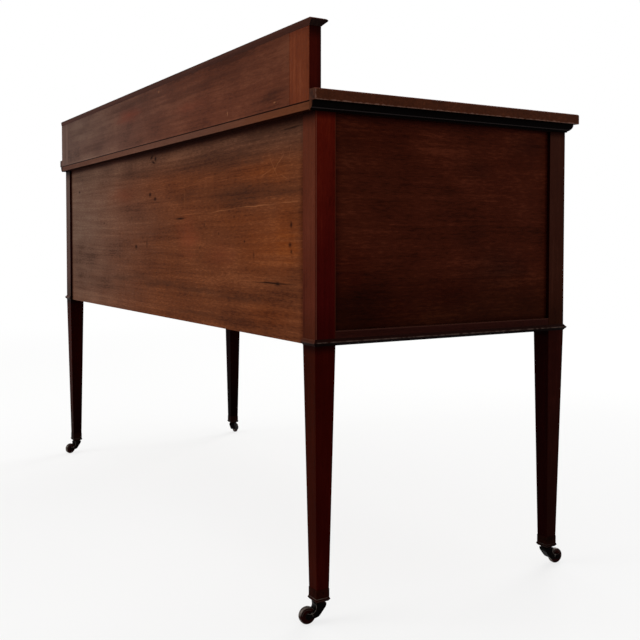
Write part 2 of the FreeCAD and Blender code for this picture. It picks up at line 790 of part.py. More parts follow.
def make_brasses(name, lock_x, key_z, lock, front_z, handles):
    """Backplates with their posts, the escutcheon and the lock, and one bail for each backplate."""
    outward = Vector(0, -1, 0)
    middle_z = f"({front_z[0]} + {front_z[1]}) / 2"
    pieces = [lock]
    for number, offset in enumerate(handles):
        centre = f"{lock_x} + ({offset})"
        suffix = f"_{number + 1}" if len(handles) > 1 else ""
        pivot_z = f"{middle_z} + handle_pivot_rise"
        pieces += handle_plate(f"{name}_plate{suffix}", centre, middle_z, pivot_z)
        keep(make_bail(f"{name}_bail{suffix}", centre, pivot_z), f"{name}_bail{suffix}")
    key_place = (lock_x, "drawer_face", key_z)
    rose = cylinder(name + "_rose", "escutcheon_radius", "plate_thickness", key_place, outward)
    hole = cylinder(name + "_rose_hole", "keyhole_radius", "plate_thickness", key_place, outward)
    slot = box(name + "_rose_slot", (f"{lock_x} - keyhole_slot / 2", f"{lock_x} + keyhole_slot / 2"),
               ("drawer_face - plate_thickness", "drawer_face"), (f"{key_z} - keyhole_drop", key_z))
    pieces.append(cut(name + "_escutcheon", rose, [hole, slot]))
    keep(group(name + "_brasses", pieces), name + "_brasses")


def handle_plate(name, centre, middle_z, pivot_z):
    """Oval backplate with a raised rim and two posts, each with a round head bored for the bail."""
    plate = body(name)
    for step, rise in enumerate(("plate_thickness", "plate_thickness + plate_rim_rise")):
        flat = sketch(plate, f"{name}_oval_{step}", "XZ_Plane")
        oval(flat, "plate_length / 2", "plate_height / 2")
        if step:
            oval(flat, "plate_length / 2 - plate_rim", "plate_height / 2 - plate_rim")
        feature(plate, "Pad", f"{name}_pad_{step}", flat, rise)
    put(plate, centre, "drawer_face", middle_z)
    outward = Vector(0, -1, 0)
    shanks = []
    posts = []
    for place, side in SIDES:
        x = f"{centre} + {side} * handle_span / 2"
        head_x = f"{x} - handle_head_width / 2"
        shank = cylinder(f"{name}_shank_{place}", "handle_post_radius", "handle_pivot_reach",
                         (x, "drawer_face", pivot_z), outward)
        head = cylinder(f"{name}_head_{place}", "handle_head_radius", "handle_head_width",
                        (head_x, "handle_pivot_y", pivot_z), Vector(1, 0, 0))
        bore = cylinder(f"{name}_bore_{place}", "bail_radius + bail_fit", "handle_head_width",
                        (head_x, "handle_pivot_y", pivot_z), Vector(1, 0, 0))
        shanks.append(shank)
        blank = fuse(f"{name}_post_blank_{place}", [shank, head])
        posts.append(cut(f"{name}_post_{place}", blank, [bore]))
    return [cut(name + "_pierced", plate, shanks)] + posts


def oval(item, long_half, short_half):
    """Ellipse about the sketch origin with both half axes bound."""
    major, minor = size(long_half), size(short_half)
    line = item.addGeometry(Part.Ellipse(Vector(major, 0, 0), Vector(0, minor, 0), Vector()))
    item.exposeInternalGeometry(line)
    item.addConstraint(Sketcher.Constraint("Coincident", line, 3, -1, 1))
    for axis, kind, half, other in ((line + 1, "DistanceX", long_half, "DistanceY"),
                                    (line + 2, "DistanceY", short_half, "DistanceX")):
        shape = item.Geometry[axis]
        backward = (shape.StartPoint.x + shape.StartPoint.y) > (shape.EndPoint.x + shape.EndPoint.y)
        start, end = (2, 1) if backward else (1, 2)
        number = item.addConstraint(Sketcher.Constraint(kind, axis, start, axis, end, 2 * size(half)))
        bind(item, f"Constraints[{number}]", f"2 * ({half})")
        if other == "DistanceY":
            item.addConstraint(Sketcher.Constraint("Horizontal", axis))
    return item


def make_bail(name, centre, pivot_z):
    """Bail: a round wire from inside one post, out and down in a U, and back into the other post."""
    bail = body(name)
    inner = "handle_span / 2 - handle_head_width / 2"
    outer = "handle_span / 2 + bail_overhang"
    path = sketch(bail, name + "_path", "XZ_Plane")
    neck, corner = "bail_neck_radius", "bail_corner_radius"
    points = [
        (mirrored(inner), "0"),
        (f"{mirrored(outer)} + {neck}", "0"),
        (mirrored(outer), mirrored(neck), QUARTER_ARC_SHARE, -1),
        (mirrored(outer), f"{corner} - bail_drop"),
        (f"{mirrored(outer)} + {corner}", "-bail_drop", QUARTER_ARC_SHARE, -1),
        (f"{outer} - {corner}", "-bail_drop"),
        (outer, f"{corner} - bail_drop", QUARTER_ARC_SHARE, -1),
        (outer, mirrored(neck)),
        (f"{outer} - {neck}", "0", QUARTER_ARC_SHARE, -1),
        (inner, "0"),
    ]
    chain(path, points, False)
    round_section = circle(sketch(bail, name + "_section", "YZ_Plane", mirrored(inner)), ("0", "0"),
                           "bail_radius")
    wire = bail.newObject("PartDesign::AdditivePipe", name + "_wire")
    wire.Profile = round_section
    wire.Spine = (path, [f"Edge{number + 1}" for number in range(len(points) - 1)])
    return put(bail, centre, "handle_pivot_y", pivot_z)


# Castors. Each is drawn about its pintle with the wheel trailing along +X, then turned.

def make_cup(name):
    cup = body(name)
    sections = []
    for step, (side, level) in enumerate((
            ("cup_top_side + 2 * cup_proud", "cup_bottom + cup_flange_height"),
            ("cup_flange_side", "cup_bottom + cup_flange_height / 2"),
            ("cup_neck_side", "cup_bottom"))):
        half = f"({side}) / 2"
        square = (mirrored(half), half)
        sections.append(rectangle(sketch(cup, f"{name}_level_{step}", "XY_Plane", level), square, square))
    flange = cup.newObject("PartDesign::AdditiveLoft", name + "_flange")
    flange.Profile = sections[0]
    flange.Sections = sections[1:]
    flange.Ruled = True
    half = "(cup_top_side + 2 * cup_proud) / 2"
    walls = rectangle(sketch(cup, name + "_walls", "XY_Plane", "cup_bottom + cup_flange_height"),
                      (mirrored(half), half), (mirrored(half), half))
    feature(cup, "Pad", name + "_walls_pad", walls, "cup_height - cup_flange_height")
    tenon = ("-foot_tenon_side / 2", "foot_tenon_side / 2")
    socket = rectangle(sketch(cup, name + "_socket", "XY_Plane", "cup_top"), tenon, tenon)
    feature(cup, "Pocket", name + "_socket_pocket", socket, "cup_height - cup_floor")
    bore = circle(sketch(cup, name + "_bore", "XY_Plane", "leg_foot"), ("0", "0"),
                  "pintle_radius + pintle_fit")
    feature(cup, "Pocket", name + "_bore_pocket", bore, "2 * cup_floor")
    return cup


def make_horn(name):
    """Swan-neck fork: a hooded casting slotted for the wheel, its pintle and the axle pin."""
    horn = body(name + "_casting")
    hub = "cheek_hub_radius"
    width = "wheel_width + 2 * wheel_play + 2 * cheek_thickness"
    section = outline(sketch(horn, name + "_outline", "XZ_Plane"), [
        ("-horn_back", "disc_bottom"),
        ("-horn_waist", "horn_waist_height", GENTLE_ARC_SHARE, -1),
        ("horn_toe_reach", "horn_toe_height"),
        ("trail", f"wheel_radius - {hub}", GENTLE_ARC_SHARE, 1),
        (f"trail + {hub}", "wheel_radius", QUARTER_ARC_SHARE, -1),
        ("trail", f"wheel_radius + {hub}", QUARTER_ARC_SHARE, -1),
        ("horn_throat_reach", "horn_throat_height", CROWN_ARC_SHARE, 1),
        ("castor_disc_radius", "disc_bottom", GENTLE_ARC_SHARE, 1),
    ])
    feature(horn, "Pad", name + "_fork_pad", section, width, symmetric=True)
    disc = circle(sketch(horn, name + "_disc", "XY_Plane", "disc_bottom"), ("0", "0"), "castor_disc_radius")
    feature(horn, "Pad", name + "_disc_pad", disc, "castor_disc_thickness")
    slot = circle(sketch(horn, name + "_slot", "XZ_Plane"), ("trail", "wheel_radius"),
                  "wheel_radius + wheel_slot_gap")
    feature(horn, "Pocket", name + "_slot_pocket", slot, "wheel_width + 2 * wheel_play", symmetric=True)
    pintle = circle(sketch(horn, name + "_pintle", "XY_Plane", "disc_top"), ("0", "0"), "pintle_radius")
    feature(horn, "Pad", name + "_pintle_pad", pintle, "leg_foot - disc_top + castor_gap")
    head = circle(sketch(horn, name + "_pintle_head", "XY_Plane", "leg_foot + castor_gap"), ("0", "0"),
                  "pintle_head_radius")
    feature(horn, "Pad", name + "_pintle_head_pad", head, "pintle_head_height")
    eye = circle(sketch(horn, name + "_eye", "XZ_Plane"), ("trail", "wheel_radius"), "axle_radius")
    feature(horn, "Pocket", name + "_eye_pocket", eye, f"2 * ({width})", symmetric=True)
    pin = body(name + "_axle")
    shank = circle(sketch(pin, name + "_axle_round", "XZ_Plane"), ("trail", "wheel_radius"), "axle_radius")
    feature(pin, "Pad", name + "_axle_pad", shank, width, symmetric=True)
    for place, offset in (("near", f"({width}) / 2"), ("far", f"-({width}) / 2 - axle_head_height")):
        cap = circle(sketch(pin, f"{name}_axle_head_{place}", "XZ_Plane", offset), ("trail", "wheel_radius"),
                     "axle_head_radius")
        feature(pin, "Pad", f"{name}_axle_head_{place}_pad", cap, "axle_head_height")
    return group(name, [horn, pin])


def make_wheel(name):
    """Wheel turned about its own axle: crowned tread, dished faces, raised hub and a bore."""
    wheel = body(name)
    half = "wheel_width / 2"
    edge = "wheel_radius - wheel_edge_drop"
    section = outline(sketch(wheel, name + "_section", "XZ_Plane"), [
        ("axle_radius + axle_fit", mirrored(half)),
        ("wheel_hub_radius", mirrored(half)),
        ("wheel_hub_radius + wheel_dish", f"wheel_dish - {half}"),
        (edge, f"wheel_dish - {half}"),
        ("wheel_radius", "-wheel_tread / 2", GENTLE_ARC_SHARE, -1),
        ("wheel_radius", "wheel_tread / 2"),
        (edge, f"{half} - wheel_dish", GENTLE_ARC_SHARE, -1),
        ("wheel_hub_radius + wheel_dish", f"{half} - wheel_dish"),
        ("wheel_hub_radius", half),
        ("axle_radius + axle_fit", half),
    ])
    turned = wheel.newObject("PartDesign::Revolution", name + "_turning")
    turned.Profile = section
    turned.ReferenceAxis = (section, ["V_Axis"])
    turned.Angle = 360
    return wheel


def make_castors():
    for name, (side, depth) in LEGS.items():
        turn = RESTING_TURNS[name]
        x = f"{side} * leg_axis_x"
        keep(put(make_cup("castor_cup_" + name), x, depth), "castor_cup_" + name)
        keep(put(make_horn("castor_horn_" + name), x, depth, "0", turn), "castor_horn_" + name)
        wheel = make_wheel("castor_wheel_" + name)
        heading = Rotation(Vector(0, 0, 1), turn)
        trailing = heading.multVec(Vector(1, 0, 0))
        wheel.Placement = Placement(Vector(), heading.multiply(Rotation(Vector(1, 0, 0), 90)))
        bind(wheel, "Placement.Base.x", f"{x} + {trailing.x} * trail")
        bind(wheel, "Placement.Base.y", f"{depth} + {trailing.y} * trail")
        bind(wheel, "Placement.Base.z", "wheel_radius")
        keep(wheel, "castor_wheel_" + name)


# Build

make_top()
make_top_moulding()
make_upstand()
make_cap()
make_carcass()
make_runners()
make_glue_blocks()
make_foot_beads()
make_drawer("drawer_centre", ("-knee_half", "knee_half"), "upper_floor", "top_rail_bottom", UPPER_TAILS,
            ["-centre_handle_spread", "centre_handle_spread"])
for place, side in SIDES:
    bay = span(side, "partition_outer", "post_inner")
    make_drawer("drawer_upper_" + place, bay, "upper_floor", "top_rail_bottom", UPPER_TAILS, ["0"])
    make_drawer("drawer_lower_" + place, bay, "end_rail_top", "divider_bottom", LOWER_TAILS, ["0"])
make_castors()
doc.recompute()

# Nothing is written unless every object and every piece is sound
for item in doc.Objects:
    if "Invalid" in item.State or "Error" in item.State:
        raise RuntimeError(f"{item.Name} failed: {item.State}")
for item in kept:
    if item.Shape.isNull() or not item.Shape.isValid() or not item.Shape.Solids:
        raise RuntimeError(f"{item.Label} has no valid solid")

os.makedirs("parts", exist_ok=True)
for item in kept:
    item.Shape.exportStep(f"parts/{item.Label}.step")
print(f"{len(kept)} pieces written")
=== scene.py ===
import json
import math

import bpy
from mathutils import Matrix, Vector

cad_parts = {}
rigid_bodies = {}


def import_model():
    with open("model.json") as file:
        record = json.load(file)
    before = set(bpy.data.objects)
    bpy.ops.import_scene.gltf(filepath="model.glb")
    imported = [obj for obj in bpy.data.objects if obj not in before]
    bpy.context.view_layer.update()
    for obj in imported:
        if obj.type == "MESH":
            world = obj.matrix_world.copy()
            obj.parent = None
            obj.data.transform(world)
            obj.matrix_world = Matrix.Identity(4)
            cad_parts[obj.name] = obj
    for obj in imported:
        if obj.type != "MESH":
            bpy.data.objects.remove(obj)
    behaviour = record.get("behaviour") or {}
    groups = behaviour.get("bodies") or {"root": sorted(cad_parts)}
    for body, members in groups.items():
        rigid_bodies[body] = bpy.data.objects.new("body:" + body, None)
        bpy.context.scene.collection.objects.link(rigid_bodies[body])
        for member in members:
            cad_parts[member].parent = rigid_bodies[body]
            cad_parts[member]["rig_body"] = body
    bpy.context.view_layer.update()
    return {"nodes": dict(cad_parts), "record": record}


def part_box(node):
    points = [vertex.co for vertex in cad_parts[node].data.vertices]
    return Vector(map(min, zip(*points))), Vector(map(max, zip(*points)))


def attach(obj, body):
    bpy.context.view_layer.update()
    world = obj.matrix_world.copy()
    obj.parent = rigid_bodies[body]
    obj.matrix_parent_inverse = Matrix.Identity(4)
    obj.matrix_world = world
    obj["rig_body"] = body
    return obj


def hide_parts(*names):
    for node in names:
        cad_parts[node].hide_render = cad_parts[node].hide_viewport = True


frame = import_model()
nodes = frame["nodes"]
joints = frame["record"]["behaviour"]["joints"]
slotOf = {part["node"]: part["material_slot"] for part in frame["record"]["subparts"]}
corners = ("front_left", "front_right", "rear_left", "rear_right")
print("frame:", len(nodes), "nodes")


# Camera and lamps

shot = dict(place=(-1.70546, 0.90497, 0.55382), heading=-120.506, tilt=-1.913, lens=49.938,
            shiftX=0.02808, shiftY=-0.07405)


def makeCamera():
    turn = (math.radians(90 + shot["tilt"]), 0, math.radians(shot["heading"]))
    bpy.ops.object.camera_add(location=shot["place"], rotation=turn)
    camera = bpy.context.active_object
    camera.data.lens = shot["lens"]
    camera.data.shift_x = shot["shiftX"]
    camera.data.shift_y = shot["shiftY"]
    bpy.context.scene.camera = camera


# Each lamp's level is how bright it makes a white face that looks straight at it
lamps = dict(
    behind=dict(place=(0.7, 4.3, 2.5), aim=(0, 0.2, 0.55), size=2.6, level=0.46),
    front=dict(place=(1.9, -4.2, 3.0), aim=(0, -0.2, 0.6), size=2.6, level=0.46),
    overhead=dict(place=(0.6, -0.4, 4.2), aim=(0, 0, 0.7), size=3.0, level=0.2),
)


def makeLamps():
    for name, lamp in lamps.items():
        place = Vector(lamp["place"])
        away = Vector(lamp["aim"]) - place
        bpy.ops.object.light_add(type="AREA", location=place, rotation=away.to_track_quat("-Z", "Y").to_euler())
        light = bpy.context.active_object
        light.name = "lamp_" + name
        light.data.size = lamp["size"]
        light.data.energy = lamp["level"] * (math.pi * away.length) ** 2


# Materials. A wire is one socket; a sum of wires adds the Math node that works it out.

class Wire:
    def __init__(self, finish, socket):
        self.finish = finish
        self.socket = socket

    def math(self, operation, *values):
        return self.finish.node("Math", {"operation": operation}, dict(enumerate(values)))

    def __add__(self, other):
        return self.math("ADD", self, other)

    def __radd__(self, other):
        return self.math("ADD", other, self)

    def __sub__(self, other):
        return self.math("SUBTRACT", self, other)

    def __rsub__(self, other):
        return self.math("SUBTRACT", other, self)

    def __mul__(self, other):
        return self.math("MULTIPLY", self, other)

    def __rmul__(self, other):
        return self.math("MULTIPLY", other, self)

    def __pow__(self, other):
        return self.math("POWER", self, other)

    def __abs__(self):
        return self.math("ABSOLUTE", self)

    def __gt__(self, other):
        return self.math("GREATER_THAN", self, other)

    def least(self, other):
        return self.math("MINIMUM", self, other)

    def most(self, other):
        return self.math("MAXIMUM", self, other)

    def ramp(self, start, end):
        # 0 at start and 1 at end, with soft shoulders
        return self.finish.node("MapRange", {"interpolation_type": "SMOOTHSTEP"},
                                {"Value": self, "From Min": start, "From Max": end})


class Finish:
    def __init__(self, owner):
        # the owner is a material or the world
        owner.use_nodes = True
        self.owner = owner
        self.tree = owner.node_tree
        self.tree.nodes.clear()

    def node(self, kind, settings=None, values=None, output=0):
        # one node of a kind, its settings first and then the values or wires of its sockets
        made = self.tree.nodes.new("ShaderNode" + kind)
        for name, value in (settings or {}).items():
            setattr(made, name, value)
        for name, value in (values or {}).items():
            if isinstance(value, Wire):
                self.tree.links.new(value.socket, made.inputs[name])
            else:
                made.inputs[name].default_value = value
        return Wire(self, made.outputs[output]) if made.outputs else None

    def vector(self, x, y, z):
        return self.node("CombineXYZ", None, {"X": x, "Y": y, "Z": z})

    def split(self, wire):
        parted = self.node("SeparateXYZ", None, {"Vector": wire})
        return [Wire(self, socket) for socket in parted.socket.node.outputs]

    def place(self):
        return self.node("TexCoord", output="Object")

    def facing(self):
        return self.node("TexCoord", output="Normal")

    def distance(self, centre):
        return self.node("VectorMath", {"operation": "DISTANCE"}, {0: self.place(), 1: centre}, output="Value")

    def whiteRays(self):
        # 1 for the rays that see a white room: from the camera, in reflections and through glass
        rays = self.node("LightPath").socket.node.outputs
        camera, glossy, clear = [Wire(self, rays["Is " + kind + " Ray"])
                                 for kind in ("Camera", "Glossy", "Transmission")]
        return camera.most(glossy).most(clear)

    def noise(self, vector, scale=1.0, detail=2.0, rough=0.5):
        return self.node("TexNoise", None, {"Vector": vector, "Scale": scale, "Detail": detail,
                                            "Roughness": rough})

    def mix(self, share, first, second, way="MIX"):
        # inputs 6 and 7 and output 2 are the node's colours
        return self.node("Mix", {"data_type": "RGBA", "blend_type": way, "clamp_factor": True},
                         {0: share, 6: first, 7: second}, output=2)

    def surface(self, **values):
        # the shader's sockets have shorter names here
        sockets = {"baseColor": "Base Color", "roughness": "Roughness", "metallic": "Metallic",
                   "specular": "Specular IOR Level", "normal": "Normal"}
        shader = self.node("BsdfPrincipled", None, {sockets[name]: value for name, value in values.items()})
        self.node("OutputMaterial", None, {"Surface": shader})
        return self.owner


def tint(red, green, blue):
    # a colour written from 0 to 255, as on a colour chart
    linear = []
    for part in (red / 255, green / 255, blue / 255):
        linear.append(part / 12.92 if part < 0.04045 else ((part + 0.055) / 1.055) ** 2.4)
    return (*linear, 1.0)


# Ragged spots: noise waves per metre along and across the grain and in the swirl, how far the fibres pull an
# edge, how much stronger a drawn spot gets, and how deep it goes through its board
ragged = dict(along=6.0, across=120.0, swirl=24.0, pull=0.9, lift=1.35, through=9.0)


def patches(finish, spots, stir, drawn, grain):
    # soft spots on the face of a board, together from 0 to 1. Each has its place along the board, its height,
    # half length, half height, turn in degrees and strength. Stir tears their edges, and drawn parts them into
    # fibres.
    x, y, z = finish.split(finish.place())
    scales = [ragged["along"] if axis == grain else ragged["across"] for axis in "xyz"]
    fibres = finish.noise(finish.vector(x * scales[0], y * scales[1], z * scales[2]), detail=3.0, rough=0.62)
    swirl = finish.noise(finish.place(), scale=ragged["swirl"], detail=4.0) - 0.5
    swirl = (swirl + (fibres - 0.5) * ragged["pull"]) * stir
    stirred = finish.vector(x + swirl * 2.0, y + swirl * 2.0, z + swirl)
    total = None
    for along, height, halfLength, halfHeight, turn, strength in spots:
        if grain == "y":
            centre = (0, along, height)
            turned = (math.radians(turn), 0, 0)
            halves = (ragged["through"], halfLength, halfHeight)
        else:
            centre = (along, 0, height)
            turned = (0, math.radians(turn), 0)
            halves = (halfLength, ragged["through"], halfHeight)
        local = finish.node("Mapping", {"vector_type": "TEXTURE"},
                            {"Vector": stirred, "Location": centre, "Rotation": turned, "Scale": halves})
        away = finish.node("VectorMath", {"operation": "LENGTH"}, {0: local}, output="Value")
        spot = away.ramp(1.0, 0.0) * strength
        total = spot if total is None else total.most(spot)
    return total * (1.0 - drawn + fibres.ramp(0.3, 0.7) * (drawn * ragged["lift"]))


def where(finish, change, grain):
    # how strongly a change shows at each point: on a face that looks one way, between the two ends of each
    # fade, along a line or in spots, where all that it names hold together
    place = dict(zip("xyz", finish.split(finish.place())))
    conditions = []
    if "face" in change:
        axis, way = change["face"]
        facing = dict(zip("xyz", finish.split(finish.facing())))
        conditions.append((facing[axis] * way) > 0.5)
    for axis, start, end in change.get("fades", []):
        conditions.append(place[axis].ramp(start, end))
    if "line" in change:
        axis, at, half = change["line"]
        conditions.append(abs(place[axis] - at).ramp(half, half * 0.4))
    if "spots" in change:
        conditions.append(patches(finish, change["spots"], change["stir"], change.get("drawn", 0.0), grain))
    share = conditions[0]
    for condition in conditions[1:]:
        share = share * condition
    return share * change.get("strength", 1.0)


# Wood, with lengths in metres. Each board's own dictionary changes some of these values.
polished = dict(
    grain="x", dark=(52, 16, 9), middle=(80, 30, 17), pale=(112, 50, 28), shift=(0, 0, 0), pith=(0.12, -0.16),
    bands=0.9, streaks=0.55, flecks=0.5, cloud=0.35, rings=0.15, ringWidth=0.009, sway=0.018, pores=0.4,
    roughLow=0.34, roughHigh=0.5, smear=0.16, specular=0.12, relief=0.00008, wear=0.35, wearWidth=0.0016,
)

# What all boards share: how the figure runs from the dark colour to the middle one and on to the pale one, how
# the bands push the rings and how far these show, where a pore opens and how it darkens
figured = dict(middle=(0.1, 0.52), pale=(0.48, 0.9), ringPush=6.0, ringDepth=0.16, poreOpens=(0.58, 0.74),
               poreTimes=(0.45, 0.38, 0.36, 1.0))

# Noise waves per metre, along and across the grain, and for torn edges and smeared polish alike both ways
waves = dict(drift=(1.1, 5.0), bands=(1.3, 24.0), streaks=(5.0, 170.0), flecks=(75.0, 420.0), cloud=(9.0, 15.0),
             pores=(110.0, 1700.0), torn=150.0, smear=7.0)


def grainNoise(finish, kind, lines, **settings):
    along, across, deep = lines
    ahead, aside = waves[kind]
    return finish.noise(finish.vector(along * ahead, across * aside, deep * aside), **settings)


def woodField(finish, look):
    # figure, fine fibres and open pores of one board
    x, y, z = finish.split(finish.place())
    runs = dict(x=(x, z, y), y=(y, z, x), z=(z, x, y))
    lines = runs[look["grain"]]
    if "turn" in look:
        # past a mitre the grain follows the other axis
        axis, beyond, other = look["turn"]
        past = abs(dict(x=x, y=y, z=z)[axis]) > beyond
        lines = [first + (second - first) * past for first, second in zip(lines, runs[other])]
    along, across, deep = [line + offset for line, offset in zip(lines, look["shift"])]
    across = across + (grainNoise(finish, "drift", (along, across, deep), detail=1.0) - 0.5) * look["sway"]
    lines = (along, across, deep)
    bands = grainNoise(finish, "bands", lines)
    streaks = grainNoise(finish, "streaks", lines, detail=3.0, rough=0.6)
    flecks = grainNoise(finish, "flecks", lines, detail=3.0, rough=0.65)
    cloud = grainNoise(finish, "cloud", lines, detail=3.0)
    pores = grainNoise(finish, "pores", lines, detail=1.0)
    width, depth = look["pith"]
    reach = ((across - width) ** 2.0 + (deep - depth) ** 2.0) ** 0.5
    turns = reach * (math.tau / look["ringWidth"]) + bands * figured["ringPush"]
    rings = turns.math("SINE", turns)
    figure = (0.5 + (bands - 0.5) * look["bands"] + (streaks - 0.5) * look["streaks"]
              + (flecks - 0.5) * look["flecks"] + (cloud - 0.5) * look["cloud"]
              + rings * (figured["ringDepth"] * look["rings"]))
    return figure, flecks, pores.ramp(*figured["poreOpens"])


def woodColour(finish, figure, dark, middle, pale):
    low = finish.mix(figure.ramp(*figured["middle"]), tint(*dark), tint(*middle))
    return finish.mix(figure.ramp(*figured["pale"]), low, tint(*pale))


def boxEdge(finish, box, width):
    # 1 on the edges of a board between two corner points, 0 past the width, with a torn outline
    first, second, third = [(end - start) / 2 - abs(line - (start + end) / 2)
                            for line, start, end in zip(finish.split(finish.place()), *box)]
    edge = first.least(second).most(first.most(second).least(third))
    torn = finish.noise(finish.place(), scale=waves["torn"], detail=3.0)
    return (edge + (torn - 0.5) * (width * 2.4)).ramp(width, 0.0)


def wood(name, look, box=None):
    # Each change gives the board three other colours, multiplies its colour or lays one shade on it. A board
    # with a box has its edges rubbed pale; on the top board these pale edges are also a painted highlight.
    look = {**polished, **look}
    finish = Finish(bpy.data.materials.new(name))
    figure, fibres, pores = woodField(finish, look)
    colour = woodColour(finish, figure, look["dark"], look["middle"], look["pale"])
    if box:
        wearAndHighlight = boxEdge(finish, box, look["wearWidth"]) * look["wear"]
        colour = finish.mix(wearAndHighlight, colour, tint(*look.get("worn", look["pale"])))
    for change in look.get("changes", []):
        share = where(finish, change, look["grain"])
        if "colours" in change:
            colour = finish.mix(share, colour, woodColour(finish, figure, *change["colours"]))
        elif "times" in change:
            colour = finish.mix(share, colour, change["times"] + (1.0,), way="MULTIPLY")
        else:
            colour = finish.mix(share, colour, tint(*change["shade"]))
    colour = finish.mix(pores * look["pores"], colour, figured["poreTimes"], way="MULTIPLY")
    smear = (finish.noise(finish.place(), scale=waves["smear"], detail=3.0) - 0.5) * look["smear"]
    rough = look["roughLow"] + (look["roughHigh"] - look["roughLow"]) * fibres + smear
    bump = finish.node("Bump", None, {"Strength": 0.7, "Distance": look["relief"],
                                      "Height": fibres * 0.4 - pores})
    return finish.surface(baseColor=colour, roughness=rough, specular=look["specular"], normal=bump)


# Faces that the finishes follow
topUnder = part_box("top_board")[0].z
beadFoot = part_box("foot_bead_left")[0].z
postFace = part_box("back_strip")[1].x

pastMitre = ("x", postFace + 0.0001, "y")  # trim turns its grain at the corners of the carcass
upstandJoint = dict(line=("z", topUnder, 0.0017), shade=(20, 6, 3), strength=0.95)

